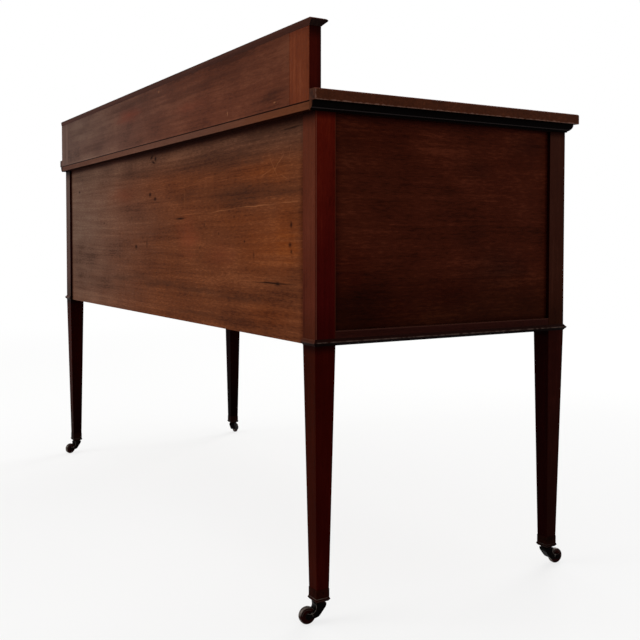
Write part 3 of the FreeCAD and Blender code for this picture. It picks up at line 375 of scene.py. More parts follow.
# Back panel, thinly stained: the plain inner face, then the outer one from its fading to its shades
backPanel = dict(
    dark=(62, 29, 15), middle=(88, 46, 25), pale=(111, 62, 36), pith=(0.58, -0.3), bands=0.75, streaks=0.85,
    flecks=1.1, cloud=0.7, rings=0.12, ringWidth=0.013, sway=0.03, pores=0.3, roughLow=0.5, roughHigh=0.66,
    specular=0.006, relief=0.00014, changes=[
        dict(face=("y", -1), colours=((40, 12, 7), (68, 26, 15), (92, 40, 23))),
        # greyer towards the right end: partly faded and partly a painted sheen of grazing reflection
        dict(stir=0.05, colours=((68, 47, 37), (90, 66, 54), (104, 82, 69)), spots=[
            (0.62, 0.6, 0.75, 0.5, 0, 1.0), (0.3, 0.6, 0.5, 0.14, 0, 0.5)]),
        # a warm glow and a red blush at the left end
        dict(stir=0.03, drawn=0.35, colours=((86, 38, 12), (107, 50, 17), (123, 63, 24)), spots=[
            (-0.535, 0.560, 0.085, 0.085, 0, 0.72), (-0.48, 0.55, 0.17, 0.08, 0, 0.5),
            (-0.49, 0.44, 0.14, 0.03, 0, 0.4), (-0.40, 0.59, 0.18, 0.03, 0, 0.32),
            (-0.46, 0.667, 0.15, 0.032, 0, 0.42)]),
        dict(stir=0.03, drawn=0.4, shade=(106, 50, 29), spots=[
            (-0.163, 0.569, 0.07, 0.06, 0, 0.55), (-0.30, 0.533, 0.09, 0.04, 0, 0.3),
            (0.20, 0.66, 0.12, 0.03, 0, 0.3)]),
        # greyer under the strip, and smoky streaks
        dict(fades=[("z", 0.665, 0.728)], face=("y", 1), strength=0.55,
             colours=((50, 36, 29), (70, 51, 41), (90, 68, 55))),
        dict(stir=0.026, drawn=0.3, strength=0.58, shade=(48, 28, 19), spots=[
            (-0.375, 0.696, 0.22, 0.024, 3, 0.9), (-0.20, 0.700, 0.26, 0.022, 2, 0.8),
            (-0.383, 0.636, 0.22, 0.024, 1, 0.95), (-0.51, 0.630, 0.16, 0.013, 0, 0.85),
            (-0.18, 0.642, 0.16, 0.013, 3, 0.6), (-0.40, 0.641, 0.12, 0.008, 1, 0.9),
            (0.18, 0.480, 0.22, 0.013, 1, 0.7), (-0.03, 0.474, 0.2, 0.014, 1, 0.85),
            (-0.20, 0.469, 0.18, 0.014, 1, 0.85), (-0.37, 0.464, 0.16, 0.011, 1, 0.7),
            (0.42, 0.466, 0.2, 0.022, 0, 0.4), (-0.50, 0.489, 0.12, 0.008, 0, 0.5),
            (0.06, 0.597, 0.12, 0.05, 0, 0.35), (-0.20, 0.425, 0.3, 0.012, 0, 0.5),
            (0.10, 0.700, 0.2, 0.018, 2, 0.5), (-0.47, 0.722, 0.12, 0.012, 2, 0.7)]),
        # knots and dents
        dict(stir=0.002, shade=(20, 8, 5), spots=[
            (0.030, 0.653, 0.012, 0.0068, 0, 1.0), (0.001, 0.643, 0.0100, 0.0058, 0, 1.0),
            (-0.130, 0.600, 0.036, 0.0034, 1, 1.0), (0.020, 0.7285, 0.014, 0.0042, 20, 1.0),
            (-0.001, 0.724, 0.008, 0.008, 0, 1.0), (0.010, 0.7175, 0.016, 0.0042, -14, 1.0),
            (-0.495, 0.4915, 0.1, 0.0022, 0, 1.0), (-0.511, 0.491, 0.018, 0.0050, 0, 1.0),
            (-0.554, 0.581, 0.005, 0.008, 0, 0.9), (-0.550, 0.551, 0.007, 0.006, 0, 0.9),
            (-0.554, 0.541, 0.005, 0.005, 0, 0.8), (-0.432, 0.534, 0.005, 0.010, 0, 0.5),
            (0.114, 0.546, 0.011, 0.007, 0, 0.9), (0.05, 0.552, 0.007, 0.012, 0, 0.5),
            (0.526, 0.682, 0.010, 0.005, 0, 0.9), (-0.40, 0.556, 0.004, 0.004, 0, 0.8),
            (-0.36, 0.598, 0.004, 0.0035, 0, 0.7), (0.33, 0.60, 0.007, 0.004, 0, 0.6),
            (-0.56, 0.725, 0.05, 0.0022, 2, 0.8), (-0.30, 0.57, 0.004, 0.004, 0, 0.6),
            (-0.24, 0.585, 0.004, 0.006, 0, 0.6), (-0.22, 0.545, 0.005, 0.004, 0, 0.6)]),
        # scratches
        dict(stir=0.003, drawn=0.3, shade=(150, 94, 58), spots=[
            (-0.17, 0.607, 0.08, 0.0014, 1, 0.3), (-0.31, 0.6095, 0.08, 0.0014, 3, 0.4),
            (-0.44, 0.6135, 0.09, 0.0015, 0, 0.5), (-0.55, 0.615, 0.05, 0.0014, 0, 0.4),
            (-0.515, 0.676, 0.035, 0.0014, 38, 0.35), (-0.50, 0.670, 0.03, 0.0014, -52, 0.3),
            (-0.47, 0.662, 0.03, 0.0013, 14, 0.3), (-0.55, 0.690, 0.02, 0.0013, 70, 0.25),
            (-0.53, 0.655, 0.022, 0.0013, -20, 0.25), (-0.15, 0.64, 0.002, 0.05, 4, 0.2)]),
        # shade under the strip and beside the posts
        dict(fades=[("z", 0.712, 0.737), ("x", 0.35, -0.05)], times=(0.5, 0.47, 0.47), face=("y", 1)),
        dict(fades=[("z", 0.726, 0.7385)], times=(0.3, 0.18, 0.18), face=("y", 1)),
        dict(fades=[("x", -0.574, -0.590), ("z", 0.722, 0.66)], times=(0.6, 0.48, 0.5)),
        dict(fades=[("x", -0.574, -0.590), ("z", 0.66, 0.722)], times=(0.8, 0.75, 0.75)),
        dict(fades=[("x", 0.586, 0.594)], times=(0.35, 0.25, 0.22)),
    ])

# Upstand: its board, the stiles with upright grain, and the cap
upstandBoard = dict(
    shift=(0.7, 0.3, 0.1), bands=1.0, streaks=0.6, flecks=0.8, cloud=1.1, specular=0.006, wear=0.2, changes=[
        dict(face=("y", 1), colours=((60, 29, 18), (81, 42, 27), (98, 55, 37))),
        # greyer towards the right end: a painted sheen of grazing reflection
        dict(face=("y", 1), fades=[("x", -0.35, 0.6)], colours=((63, 42, 34), (82, 58, 48), (96, 72, 60))),
        dict(face=("y", 1), fades=[("z", 0.785, 0.82)], times=(0.84, 0.84, 0.84)),
        dict(face=("y", 1), fades=[("z", 0.7605, 0.7555)], times=(1.12, 1.15, 1.18)),
        # dark and pale dents
        dict(stir=0.002, shade=(34, 14, 9), spots=[
            (0.547, 0.766, 0.004, 0.008, 0, 0.8), (-0.534, 0.763, 0.005, 0.002, 0, 0.6),
            (0.115, 0.812, 0.003, 0.009, 0, 0.3)]),
        dict(stir=0.002, shade=(150, 100, 66), spots=[
            (-0.367, 0.768, 0.002, 0.006, 0, 0.6), (-0.53, 0.7645, 0.006, 0.002, 0, 0.5),
            (-0.059, 0.849, 0.006, 0.003, 0, 0.4)]),
        # dark streaks and a red blush
        dict(stir=0.02, drawn=0.6, shade=(52, 27, 18), spots=[
            (-0.52, 0.778, 0.09, 0.012, 6, 0.6), (-0.1, 0.79, 0.3, 0.012, 1, 0.45),
            (0.35, 0.78, 0.2, 0.014, 1, 0.6), (-0.3, 0.83, 0.25, 0.014, 1, 0.55),
            (0.1, 0.845, 0.3, 0.012, 1, 0.55), (0.45, 0.83, 0.14, 0.014, 1, 0.5)]),
        dict(stir=0.02, drawn=0.5, shade=(100, 46, 30), spots=[
            (0.12, 0.822, 0.12, 0.024, 0, 0.6), (-0.2, 0.80, 0.1, 0.016, 0, 0.35)]),
        upstandJoint,
    ])
upstandStiles = dict(
    grain="z", dark=(45, 8, 5), middle=(57, 14, 8), pale=(68, 21, 14), shift=(0.2, 0.1, 0.4), bands=0.5,
    streaks=0.7, flecks=0.8, cloud=1.1, specular=0.008, changes=[
        dict(face=("y", 1), colours=((74, 31, 15), (91, 41, 21), (106, 53, 30))),
        dict(face=("x", -1), times=(0.9, 0.62, 0.5)),
        dict(face=("x", -1), fades=[("y", 0.25, 0.243)], times=(0.7, 0.55, 0.55)),
        # painted shade up under the cap on the end face
        dict(face=("x", -1), fades=[("z", 0.835, 0.857)], times=(0.4, 0.35, 0.35)),
        # greyer at the right end: a painted sheen of grazing reflection
        dict(face=("y", 1), fades=[("x", 0.5, 0.57)], colours=((66, 46, 38), (86, 62, 52), (98, 76, 66))),
        dict(face=("y", -1), colours=((52, 16, 9), (76, 30, 17), (96, 44, 26))),
        # painted shade under the cap on every face
        dict(fades=[("z", 0.845, 0.859)], times=(0.75, 0.7, 0.7)),
        upstandJoint,
    ])
upstandCap = dict(
    dark=(14, 7, 6), middle=(24, 13, 11), pale=(44, 28, 24), worn=(100, 72, 62), shift=(0.4, 0.9, 0.2),
    streaks=0.9, specular=0.006, wear=0.4, changes=[
        dict(face=("y", 1), colours=((42, 20, 14), (54, 28, 20), (66, 38, 30))),
        dict(face=("z", 1), colours=((46, 15, 9), (70, 27, 16), (96, 44, 26))),
    ])

# Strip under the upstand, greyer towards the right end
backStrip = dict(
    dark=(70, 43, 32), middle=(85, 54, 42), pale=(100, 68, 55), worn=(112, 76, 60), shift=(1.1, 0.2, 0.3),
    bands=0.4, streaks=0.4, flecks=0.6, roughLow=0.5, roughHigh=0.65, specular=0.006, wear=0.4, changes=[
        dict(fades=[("x", -0.2, -0.6)], colours=((70, 37, 22), (88, 48, 29), (104, 62, 42))),
        dict(fades=[("x", -0.60, -0.635)], times=(0.85, 0.85, 0.85)),
        dict(fades=[("x", 0.2, 0.6)], times=(0.8, 0.82, 0.86)),
        dict(fades=[("x", 0.623, 0.630)], times=(0.4, 0.3, 0.3)),
        # painted shade: the underside nearly black
        dict(face=("z", -1), times=(0.15, 0.1, 0.1)),
        dict(line=("z", topUnder, 0.0013), shade=(20, 6, 3), strength=0.95),
    ])

# Top board, and the moulding under it. The top board's pale edges are partly wear and partly a painted
# highlight along its top edge.
topBoard = dict(
    dark=(42, 18, 8), middle=(62, 29, 15), pale=(86, 44, 26), worn=(128, 96, 84), shift=(0.1, 0.5, 0.7),
    bands=0.5, streaks=0.7, flecks=0.7, specular=0.02, wear=0.55, wearWidth=0.002, changes=[
        dict(face=("y", 1), colours=((46, 21, 11), (66, 35, 20), (84, 48, 31))),
        dict(face=("y", 1), fades=[("x", 0.633, 0.639)], times=(0.2, 0.12, 0.12)),
        dict(face=("y", 1), fades=[("x", -0.630, -0.634)], times=(0.72, 0.6, 0.5)),
        # cracks
        dict(stir=0.002, shade=(22, 9, 5), spots=[
            (-0.6385, 0.762, 0.0024, 0.012, 0, 0.95), (-0.6330, 0.764, 0.0018, 0.007, 12, 0.9),
            (-0.6430, 0.757, 0.004, 0.004, 0, 0.9), (-0.6280, 0.758, 0.003, 0.005, 0, 0.6)]),
        # painted shade: the underside nearly black
        dict(face=("z", -1), colours=((8, 3, 2), (12, 5, 3), (18, 8, 5))),
        dict(face=("z", 1), colours=((58, 20, 11), (88, 36, 20), (118, 56, 32))),
    ])
# The moulding's nearly black colours are partly painted shade.
topMoulding = dict(
    turn=pastMitre, dark=(3, 1, 1), middle=(5, 3, 3), pale=(10, 7, 6), specular=0.004, changes=[
        # a painted highlight along the lower edge of the ovolo
        dict(line=("z", 0.7438, 0.0008), shade=(46, 40, 40), strength=0.6),
        dict(face=("y", 1), colours=((46, 21, 11), (66, 35, 20), (84, 48, 31))),
        # painted shade on its back face at both ends
        dict(face=("y", 1), fades=[("x", -0.636, -0.640)], shade=(14, 6, 5)),
        dict(face=("y", 1), fades=[("x", 0.625, 0.632)], shade=(12, 6, 5)),
    ])

# Ends of the table: the panels, their rails, and the beads round the foot of the carcass
endPanel = dict(
    grain="y", dark=(36, 10, 4), middle=(55, 19, 9), pale=(76, 32, 18), bands=0.5, streaks=0.6, flecks=1.0,
    cloud=0.9, rings=0.0, pores=0.3, roughLow=0.42, roughHigh=0.6, specular=0.007, relief=0.0001, changes=[
        # warm, dark and red patches
        dict(stir=0.03, drawn=0.5, colours=((42, 15, 7), (62, 24, 13), (82, 38, 24)), spots=[
            (0.016, 0.622, 0.12, 0.05, 0, 0.5), (0.124, 0.636, 0.06, 0.035, 0, 0.4),
            (-0.17, 0.60, 0.06, 0.08, 0, 0.35), (-0.12, 0.45, 0.10, 0.025, 0, 0.4)]),
        dict(stir=0.035, drawn=0.35, times=(0.5, 0.58, 0.72), spots=[
            (-0.097, 0.516, 0.10, 0.05, 0, 0.85), (-0.05, 0.56, 0.06, 0.035, 0, 0.65),
            (-0.05, 0.671, 0.06, 0.025, 0, 0.5), (-0.161, 0.711, 0.07, 0.035, 0, 0.5),
            (0.17, 0.46, 0.10, 0.05, 0, 0.6), (0.19, 0.70, 0.04, 0.06, 0, 0.35)]),
        dict(stir=0.03, drawn=0.4, times=(0.75, 0.42, 0.3), spots=[
            (0.187, 0.516, 0.06, 0.06, 0, 0.5), (0.01, 0.47, 0.10, 0.04, 0, 0.5),
            (0.10, 0.45, 0.08, 0.03, 0, 0.4)]),
        # darker towards the foot, with painted shade under the top and beside the posts
        dict(fades=[("z", 0.54, 0.44)], times=(0.5, 0.54, 0.46)),
        dict(fades=[("z", 0.54, 0.45), ("y", 0.02, 0.16)], times=(0.8, 0.62, 0.5)),
        dict(fades=[("z", 0.66, 0.72), ("y", 0.0, 0.16)], times=(0.82, 0.72, 0.66)),
        dict(fades=[("z", 0.727, 0.741)], times=(0.35, 0.25, 0.25)),
        dict(fades=[("y", 0.198, 0.2155)], times=(0.62, 0.5, 0.5)),
        dict(fades=[("y", -0.203, -0.209)], times=(0.6, 0.5, 0.5)),
    ])
endRails = dict(
    grain="y", dark=(28, 7, 4), middle=(38, 12, 8), pale=(54, 24, 18), specular=0.01, flecks=0.9, changes=[
        # painted shade under the top moulding
        dict(fades=[("z", 0.727, 0.741)], times=(0.3, 0.2, 0.2)),
        dict(line=("z", 0.4265, 0.0012), shade=(70, 40, 32), strength=0.5),
    ])
footBead = dict(
    turn=pastMitre, dark=(20, 6, 4), middle=(27, 9, 6), pale=(38, 15, 11), flecks=0.9, specular=0.008, changes=[
        dict(face=("y", 1), colours=((44, 18, 10), (60, 28, 17), (80, 42, 28))),
        # a painted highlight along its rounding, broken here and there
        dict(line=("z", 0.4113, 0.0012), stir=0.002, drawn=1.0, shade=(78, 62, 55), spots=[
            (0, 0.41, 9, 9, 0, 0.8)]),
        # painted shade on its underside
        dict(face=("z", -1), times=(0.2, 0.15, 0.15)),
    ])

# Legs with their posts. One face of each post has colours of its own.
leg = dict(
    grain="z", dark=(52, 8, 3), middle=(72, 14, 6), pale=(88, 24, 11), bands=0.5, streaks=0.65, flecks=0.6,
    cloud=0.9, rings=0.0, sway=0.006, specular=0.004)
legFaces = dict(
    front_left=dict(face=("x", -1), colours=((40, 17, 12), (49, 23, 16), (60, 31, 23))),
    front_right=dict(face=("x", 1), colours=((40, 17, 12), (49, 23, 16), (60, 31, 23))),
    rear_left=dict(face=("y", 1), colours=((66, 28, 16), (80, 37, 23), (96, 48, 32))),
    rear_right=dict(face=("y", 1), colours=((64, 46, 40), (76, 58, 51), (88, 70, 62))),
)


def legLook(corner, shift):
    rear, left = corner.startswith("rear"), corner.endswith("left")
    end, sideways = (1 if rear else -1), (-1 if left else 1)
    outer, inner = ("x", sideways), ("x", -sideways)
    outward, inward, back = ("y", end), ("y", -end), ("y", 1)
    down = [("z", 0.72, 0.42)]
    below = [("z", beadFoot + 0.0005, beadFoot)]
    aboveBead = [("z", beadFoot + 0.0005, beadFoot + 0.001)]
    changes = [
        legFaces[corner],
        dict(face=outer, fades=down, times=(0.48, 0.25, 0.6) if rear else (0.8, 0.7, 0.6)),
        dict(face=back, fades=down, times=(0.82, 0.68, 0.7)),
        # a painted highlight on the post's edge beside the end panel, the darker foot of the post and the pale
        # edge at its back
        dict(line=("y", 0.2165, 0.0009), face=outer, fades=aboveBead, shade=(66, 32, 20), strength=0.6),
        dict(fades=[("z", 0.47, 0.425), ("z", 0.4055, 0.4065)], times=(0.74, 0.78, 0.68)),
        dict(line=("y", 0.2486, 0.0009), face=outer, fades=aboveBead, shade=(112, 72, 56), strength=0.4),
        # the tapered leg
        dict(face=outer, fades=below, colours=((36, 2, 1), (42, 3, 1), (52, 8, 4))),
        dict(face=outward, fades=below, colours=((35, 6, 1), (45, 9, 2), (56, 15, 5))),
        # painted shade: nearly black on the faces that look under the table
        dict(face=inner, times=(0.14, 0.12, 0.14)),
        dict(face=inward, times=(0.12, 0.06, 0.12)),
        # shade under the top and under the bead
        dict(face=back, fades=[("z", 0.712, 0.737)], times=(0.4, 0.34, 0.34)),
        dict(fades=[("z", 0.727, 0.7400)], times=(0.2, 0.14, 0.12)),
        dict(fades=[("z", 0.391, 0.406), ("z", 0.4075, 0.4065)], times=(0.3, 0.25, 0.25)),
    ]
    if not rear:
        # darker outer faces on the front legs
        changes.append(dict(face=outer, fades=below, colours=((25, 4, 2), (31, 7, 4), (42, 13, 9))))
        changes.append(dict(face=outer, fades=[("z", 0.30, 0.06)], times=(0.72, 0.8, 0.8)))
    if not left:
        # darker towards the foot on the right legs
        changes.append(dict(fades=[("z", 0.22, 0.06)], times=(0.42, 0.6, 0.7)))
        if not rear:
            changes.append(dict(fades=below, times=(0.6, 0.9, 0.9)))
    elif rear:
        changes.append(dict(fades=[("z", 0.36, 0.05)], times=(0.85, 0.66, 0.58)))
    return dict(leg, shift=(shift, 0.3, 0.9 if rear else 0.2), changes=changes)


# Livelier boards for the drawer fronts, and bare wood inside
drawerFront = dict(bands=1.4, rings=0.5)
lining = dict(
    grain="y", dark=(104, 74, 47), middle=(142, 106, 70), pale=(168, 132, 92), bands=0.8, rings=0.6,
    ringWidth=0.006, pores=0.25, roughLow=0.6, roughHigh=0.75, specular=0.1)

# Places along the grain, so that no two pieces show the same figure
sideShifts = dict(left=0.3, right=1.4)
liningShifts = dict(start=2.8, step=0.1)


def dressWood():
    finishes = {
        "back_panel": wood("back_panel_wood", backPanel),
        "upstand_board": wood("upstand_wood", upstandBoard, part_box("upstand_board")),
        "upstand_stiles": wood("stile_wood", upstandStiles),
        "upstand_cap": wood("cap_wood", upstandCap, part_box("upstand_cap")),
        "back_strip": wood("strip_wood", backStrip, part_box("back_strip")),
        "top_board": wood("top_wood", topBoard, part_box("top_board")),
        "top_moulding": wood("moulding_wood", topMoulding),
        "drawer_centre_front": wood("drawer_centre_front_wood", dict(drawerFront, shift=(2.3, 0.1, 0.2)),
                                    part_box("drawer_centre_front")),
        "front_top_rail": wood("top_rail_wood", dict(shift=(0.9, 0.1, 0.6))),
        "centre_rail": wood("centre_rail_wood", dict(shift=(0.5, 0.4, 0.9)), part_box("centre_rail")),
    }
    for side, shift in sideShifts.items():
        finishes["end_panel_" + side] = wood("end_panel_wood_" + side, dict(endPanel, shift=(shift, 0.2, 0.1)))
        finishes["end_rails_" + side] = wood("end_rail_wood_" + side, dict(endRails, shift=(shift, 0.6, 0.4)))
        finishes["foot_bead_" + side] = wood("bead_wood_" + side, dict(footBead, shift=(shift, 0.5, 0.5)))
        rails, partition = "front_rails_" + side, "partition_" + side
        finishes[rails] = wood("front_rail_wood_" + side, dict(shift=(shift, 0.9, 0.3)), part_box(rails))
        finishes[partition] = wood("partition_wood_" + side, dict(grain="z", shift=(shift, 0.1, 0.8)),
                                   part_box(partition))
        for level, depth in (("upper", 0.1), ("lower", 0.5)):
            drawer = "drawer_" + level + "_" + side + "_front"
            finishes[drawer] = wood(drawer + "_wood", dict(drawerFront, shift=(shift, 0.37, depth)),
                                    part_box(drawer))
    for corner in corners:
        shift = sideShifts[corner.split("_")[1]]
        finishes["leg_" + corner] = wood("leg_" + corner + "_wood", legLook(corner, shift))
    linings = [name for name in nodes if slotOf[name] == "lining_wood"]
    for number, name in enumerate(linings):
        shift = liningShifts["start"] + liningShifts["step"] * number
        finishes[name] = wood(name + "_wood", dict(lining, shift=(shift, 0.2, 0.1)))
    return finishes


# Metals, with lengths in metres. What all of them share: noise waves per metre for clouds and specks of
# tarnish, how softly it ends, how softly a ring ends at its low height, and the relief.
tarnished = dict(cloud=140.0, specks=900.0, soft=0.25, ringSoft=0.001, relief=0.00004)


def metal(name, look):
    # tarnish is a dull skin over the metal, so only bare places are metallic
    finish = Finish(bpy.data.materials.new(name))
    place = finish.place()
    height = finish.split(place)[2]
    cloud = finish.noise(place, scale=tarnished["cloud"], detail=4.0, rough=0.6)
    specks = finish.noise(place, scale=tarnished["specks"], detail=2.0)
    dull = (cloud * 0.7 + specks * 0.3).ramp(look["cover"], look["cover"] + tarnished["soft"])
    shade = finish.mix(dull, tint(*look["colour"]), tint(*look["tarnish"]))
    bare = look["bare"]
    if "tread" in look:
        # a painted highlight between its inner and outer reach from the axle
        centre, inner, outer, bright = look["tread"]
        wearAndHighlight = finish.distance(centre).ramp(inner, outer) * cloud.ramp(0.35, 0.6)
        shade = finish.mix(wearAndHighlight, shade, tint(*bright))
        bare = wearAndHighlight * 0.6
    for centre, reach, half, low, bright in look.get("rings", []):
        # a painted highlight ring on a flat side, at its reach from the centre and above the low height
        wearAndHighlight = abs(finish.distance(centre) - reach).ramp(half, half * 0.3) * cloud.ramp(0.3, 0.55)
        above = height.ramp(low - tarnished["ringSoft"], low + tarnished["ringSoft"])
        shade = finish.mix(wearAndHighlight * above, shade, tint(*bright))
    for level, half, bright in look.get("lines", []):
        # a painted highlight along a level edge
        wearAndHighlight = abs(height - level).ramp(half, half * 0.3) * cloud.ramp(0.3, 0.62)
        shade = finish.mix(wearAndHighlight, shade, tint(*bright))
    rough = look["smooth"] + (look["rough"] - look["smooth"]) * dull
    bump = finish.node("Bump", None, {"Strength": 0.5, "Distance": tarnished["relief"], "Height": cloud})
    return finish.surface(baseColor=shade, metallic=bare, roughness=rough, specular=look["specular"],
                          normal=bump)


def castorLines(corner):
    # the pintle's foot, the way the wheel trails and the wheel's centre, for one castor
    places = {joint["name"]: Vector(joint["pos_m"]) for joint in joints if "pos_m" in joint}
    pintle = places["castor_swivel_" + corner]
    axle = places["castor_roll_" + corner]
    trail = (axle - pintle) * Vector((1, 1, 0))
    return pintle, trail.normalized(), axle


handleBrass = dict(
    colour=(186, 146, 80), tarnish=(104, 76, 42), smooth=0.24, rough=0.5, cover=0.46, bare=1.0, specular=0.5)

# Castor cups with two painted highlights along level edges, each its height, half width and shade. The near one
# is a little redder.
castorCup = dict(
    colour=(24, 7, 4), tarnish=(14, 4, 2), smooth=0.35, rough=0.6, cover=0.4, bare=0.0, specular=0.004,
    lines=[(0.0378, 0.0005, (58, 52, 48)), (0.0350, 0.0005, (40, 34, 31))])
nearCup = dict(
    castorCup, colour=(34, 8, 3), tarnish=(21, 4, 1),
    lines=[(0.0378, 0.0005, (84, 75, 68)), (0.0350, 0.0005, (56, 49, 44))])

# Castor horns: a painted highlight ring round the axle and one in the throat, at its place along the trail and
# its height
castorHorn = dict(
    colour=(9, 6, 5), tarnish=(4, 3, 3), smooth=0.22, rough=0.45, cover=0.4, bare=0.0, specular=0.007)
hornRings = dict(shade=(92, 84, 78), half=0.0004, axleReach=0.01005, throatTrail=0.016, throatHeight=0.02485,
                 throatReach=0.0117, throatLow=0.0125)

# Castor wheels: a painted highlight on the tread and a painted highlight ring on each side
castorWheel = dict(
    colour=(34, 8, 5), tarnish=(12, 4, 3), smooth=0.22, rough=0.5, cover=0.42, bare=0.0, specular=0.008)
wheelRings = dict(treadShade=(92, 84, 78), treadInner=0.0116, treadOuter=0.0128, sideShade=(66, 58, 54),
                  sideReach=0.0099, half=0.0004, aboveAxle=0.001)


def dressCastor(corner):
    pintle, trail, axle = castorLines(corner)
    centre = tuple(axle)
    throat = pintle + trail * hornRings["throatTrail"]
    throat.z = hornRings["throatHeight"]
    half, shade = hornRings["half"], hornRings["shade"]
    horn = dict(castorHorn, rings=[
        (centre, hornRings["axleReach"], half, axle.z, shade),
        (tuple(throat), hornRings["throatReach"], half, hornRings["throatLow"], shade)])
    wheel = dict(
        castorWheel,
        tread=(centre, wheelRings["treadInner"], wheelRings["treadOuter"], wheelRings["treadShade"]),
        rings=[(centre, wheelRings["sideReach"], wheelRings["half"], axle.z + wheelRings["aboveAxle"],
                wheelRings["sideShade"])])
    cup = nearCup if corner == "rear_left" else castorCup
    looks = {"castor_cup_" + corner: cup, "castor_horn_" + corner: horn, "castor_wheel_" + corner: wheel}
    return {name: metal(name + "_brass", look) for name, look in looks.items()}


# Worn green leather with two gilt lines, each this far in from the edge. Cloud, grain and rubbing are noise
# waves per metre.
leather = dict(green=(34, 52, 39), worn=(52, 68, 48), gilt=(168, 130, 62), lines=(0.010, 0.0155),
               lineWidth=0.0007, cloud=13.0, grain=700.0, rubbing=240.0, relief=0.0002, smooth=0.48,
               roughBy=0.2, specular=0.25)


def dressLeather():
    finish = Finish(bpy.data.materials.new("writing_leather_skin"))
    low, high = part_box("writing_leather")
    place = finish.place()
    x, y = finish.split(place)[:2]
    inX = (high.x - low.x) / 2 - abs(x - (low.x + high.x) / 2)
    inY = (high.y - low.y) / 2 - abs(y - (low.y + high.y) / 2)
    edge = inX.least(inY)
    cloud = finish.noise(place, scale=leather["cloud"], detail=6.0, rough=0.62)
    grain = finish.node("TexVoronoi", {"feature": "SMOOTH_F1"}, {"Vector": place, "Scale": leather["grain"]},
                        output="Distance")
    colour = finish.mix(cloud.ramp(0.35, 0.85), tint(*leather["green"]), tint(*leather["worn"]))
    first, second = [abs(edge - inset).ramp(leather["lineWidth"], leather["lineWidth"] * 0.5)
                     for inset in leather["lines"]]
    gilt = first.most(second) * finish.noise(place, scale=leather["rubbing"], detail=2.0).ramp(0.36, 0.5)
    colour = finish.mix(gilt, colour, tint(*leather["gilt"]))
    rough = leather["smooth"] + cloud * leather["roughBy"]
    bump = finish.node("Bump", None, {"Strength": 0.6, "Distance": leather["relief"],
                                      "Height": grain * 0.6 - gilt * 1.5})
    return finish.surface(baseColor=colour, roughness=rough, metallic=gilt * 0.8, specular=leather["specular"],
                          normal=bump)


def finishWith(piece, material):
    piece.data.materials.clear()
    piece.data.materials.append(material)


def dressNodes():
    finishes = {**dressWood(), "writing_leather": dressLeather()}
    for corner in corners:
        finishes.update(dressCastor(corner))
    brass = metal("handle_brass", handleBrass)
    finishes.update({name: brass for name in nodes if slotOf[name] == "handle_brass"})
    for name, node in nodes.items():
        finishWith(node, finishes[name])
    return finishes


def alone(piece):
    bpy.ops.object.select_all(action="DESELECT")
    bpy.context.view_layer.objects.active = piece
    piece.select_set(True)


def duplicate(piece, name):
    # a copy with its own mesh
    copy = bpy.data.objects.new(name, piece.data.copy())
    bpy.context.collection.objects.link(copy)
    return copy


# How far the sharp corners are eased, in metres
eased = dict(
    leg_front_left=0.0012, leg_front_right=0.0012, leg_rear_left=0.0012, leg_rear_right=0.0012,
    back_panel=0.0006, end_panel_left=0.0006, end_panel_right=0.0006,
    end_rails_left=0.0008, end_rails_right=0.0008,
    upstand_board=0.0006, upstand_stiles=0.0010, upstand_cap=0.0004, back_strip=0.0010, top_board=0.0008,
    front_top_rail=0.0006, centre_rail=0.0010, front_rails_left=0.0008, front_rails_right=0.0008,
    partition_left=0.0010, partition_right=0.0010,
    castor_horn_front_left=0.0012, castor_horn_front_right=0.0012, castor_horn_rear_left=0.0012,
    castor_horn_rear_right=0.0012,
)

# Points this close are merged, faces this flat to each other are joined, and corners sharper than this are
# eased, in metres and degrees
easing = dict(merge=2e-6, flat=0.5, sharp=40)

# The rounded toe of the castor's fork: the middle of its arc behind the pintle and above the floor, its radius,
# and the angles of the planes that cut it, in metres and degrees
toe = dict(behind=0.00818, height=0.01908, radius=0.009, start=222, step=8, cuts=5)


def roundToe(corner):
    # in edit mode
    pintle, trail = castorLines(corner)[:2]
    middle = Vector((pintle.x, pintle.y, toe["height"])) + trail * toe["behind"]
    for number in range(toe["cuts"]):
        angle = math.radians(toe["start"] + number * toe["step"])
        outward = trail * math.cos(angle) + Vector((0, 0, math.sin(angle)))
        bpy.ops.mesh.select_all(action="SELECT")
        bpy.ops.mesh.bisect(plane_co=middle + outward * toe["radius"], plane_no=outward, use_fill=True,
                            clear_outer=True)


def easeBoard(name, width):
    board = duplicate(nodes[name], name + "_eased")
    alone(board)
    bpy.ops.mesh.customdata_custom_splitnormals_clear()
    bpy.ops.object.mode_set(mode="EDIT")
    bpy.ops.mesh.select_all(action="SELECT")
    bpy.ops.mesh.remove_doubles(threshold=easing["merge"])
    bpy.ops.mesh.dissolve_limited(angle_limit=math.radians(easing["flat"]))
    if name.startswith("castor_horn_"):
        roundToe(name[len("castor_horn_"):])
    bpy.ops.object.mode_set(mode="OBJECT")
    rounding = board.modifiers.new("ease", "BEVEL")
    rounding.width = width
    rounding.segments = 2
    rounding.limit_method = "ANGLE"
    rounding.angle_limit = math.radians(easing["sharp"])
    bpy.ops.object.modifier_apply(modifier="ease")
    bpy.ops.object.shade_flat()
    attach(board, nodes[name]["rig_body"])
    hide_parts(name)


# Small brass pieces. Each is modelled once at the origin and copied to its places.

def applyPlace(piece):
    alone(piece)
    bpy.ops.object.transform_apply(location=True, rotation=True, scale=True)


def pick(piece, test):
    # in edit mode afterwards, with the faces selected whose centre and normal pass the test
    bpy.ops.object.mode_set(mode="EDIT")
    bpy.ops.mesh.select_mode(type="FACE")
    bpy.ops.mesh.select_all(action="DESELECT")
    bpy.ops.object.mode_set(mode="OBJECT")
    for face in piece.data.polygons:
        face.select = test(face.center, face.normal)
    bpy.ops.object.mode_set(mode="EDIT")


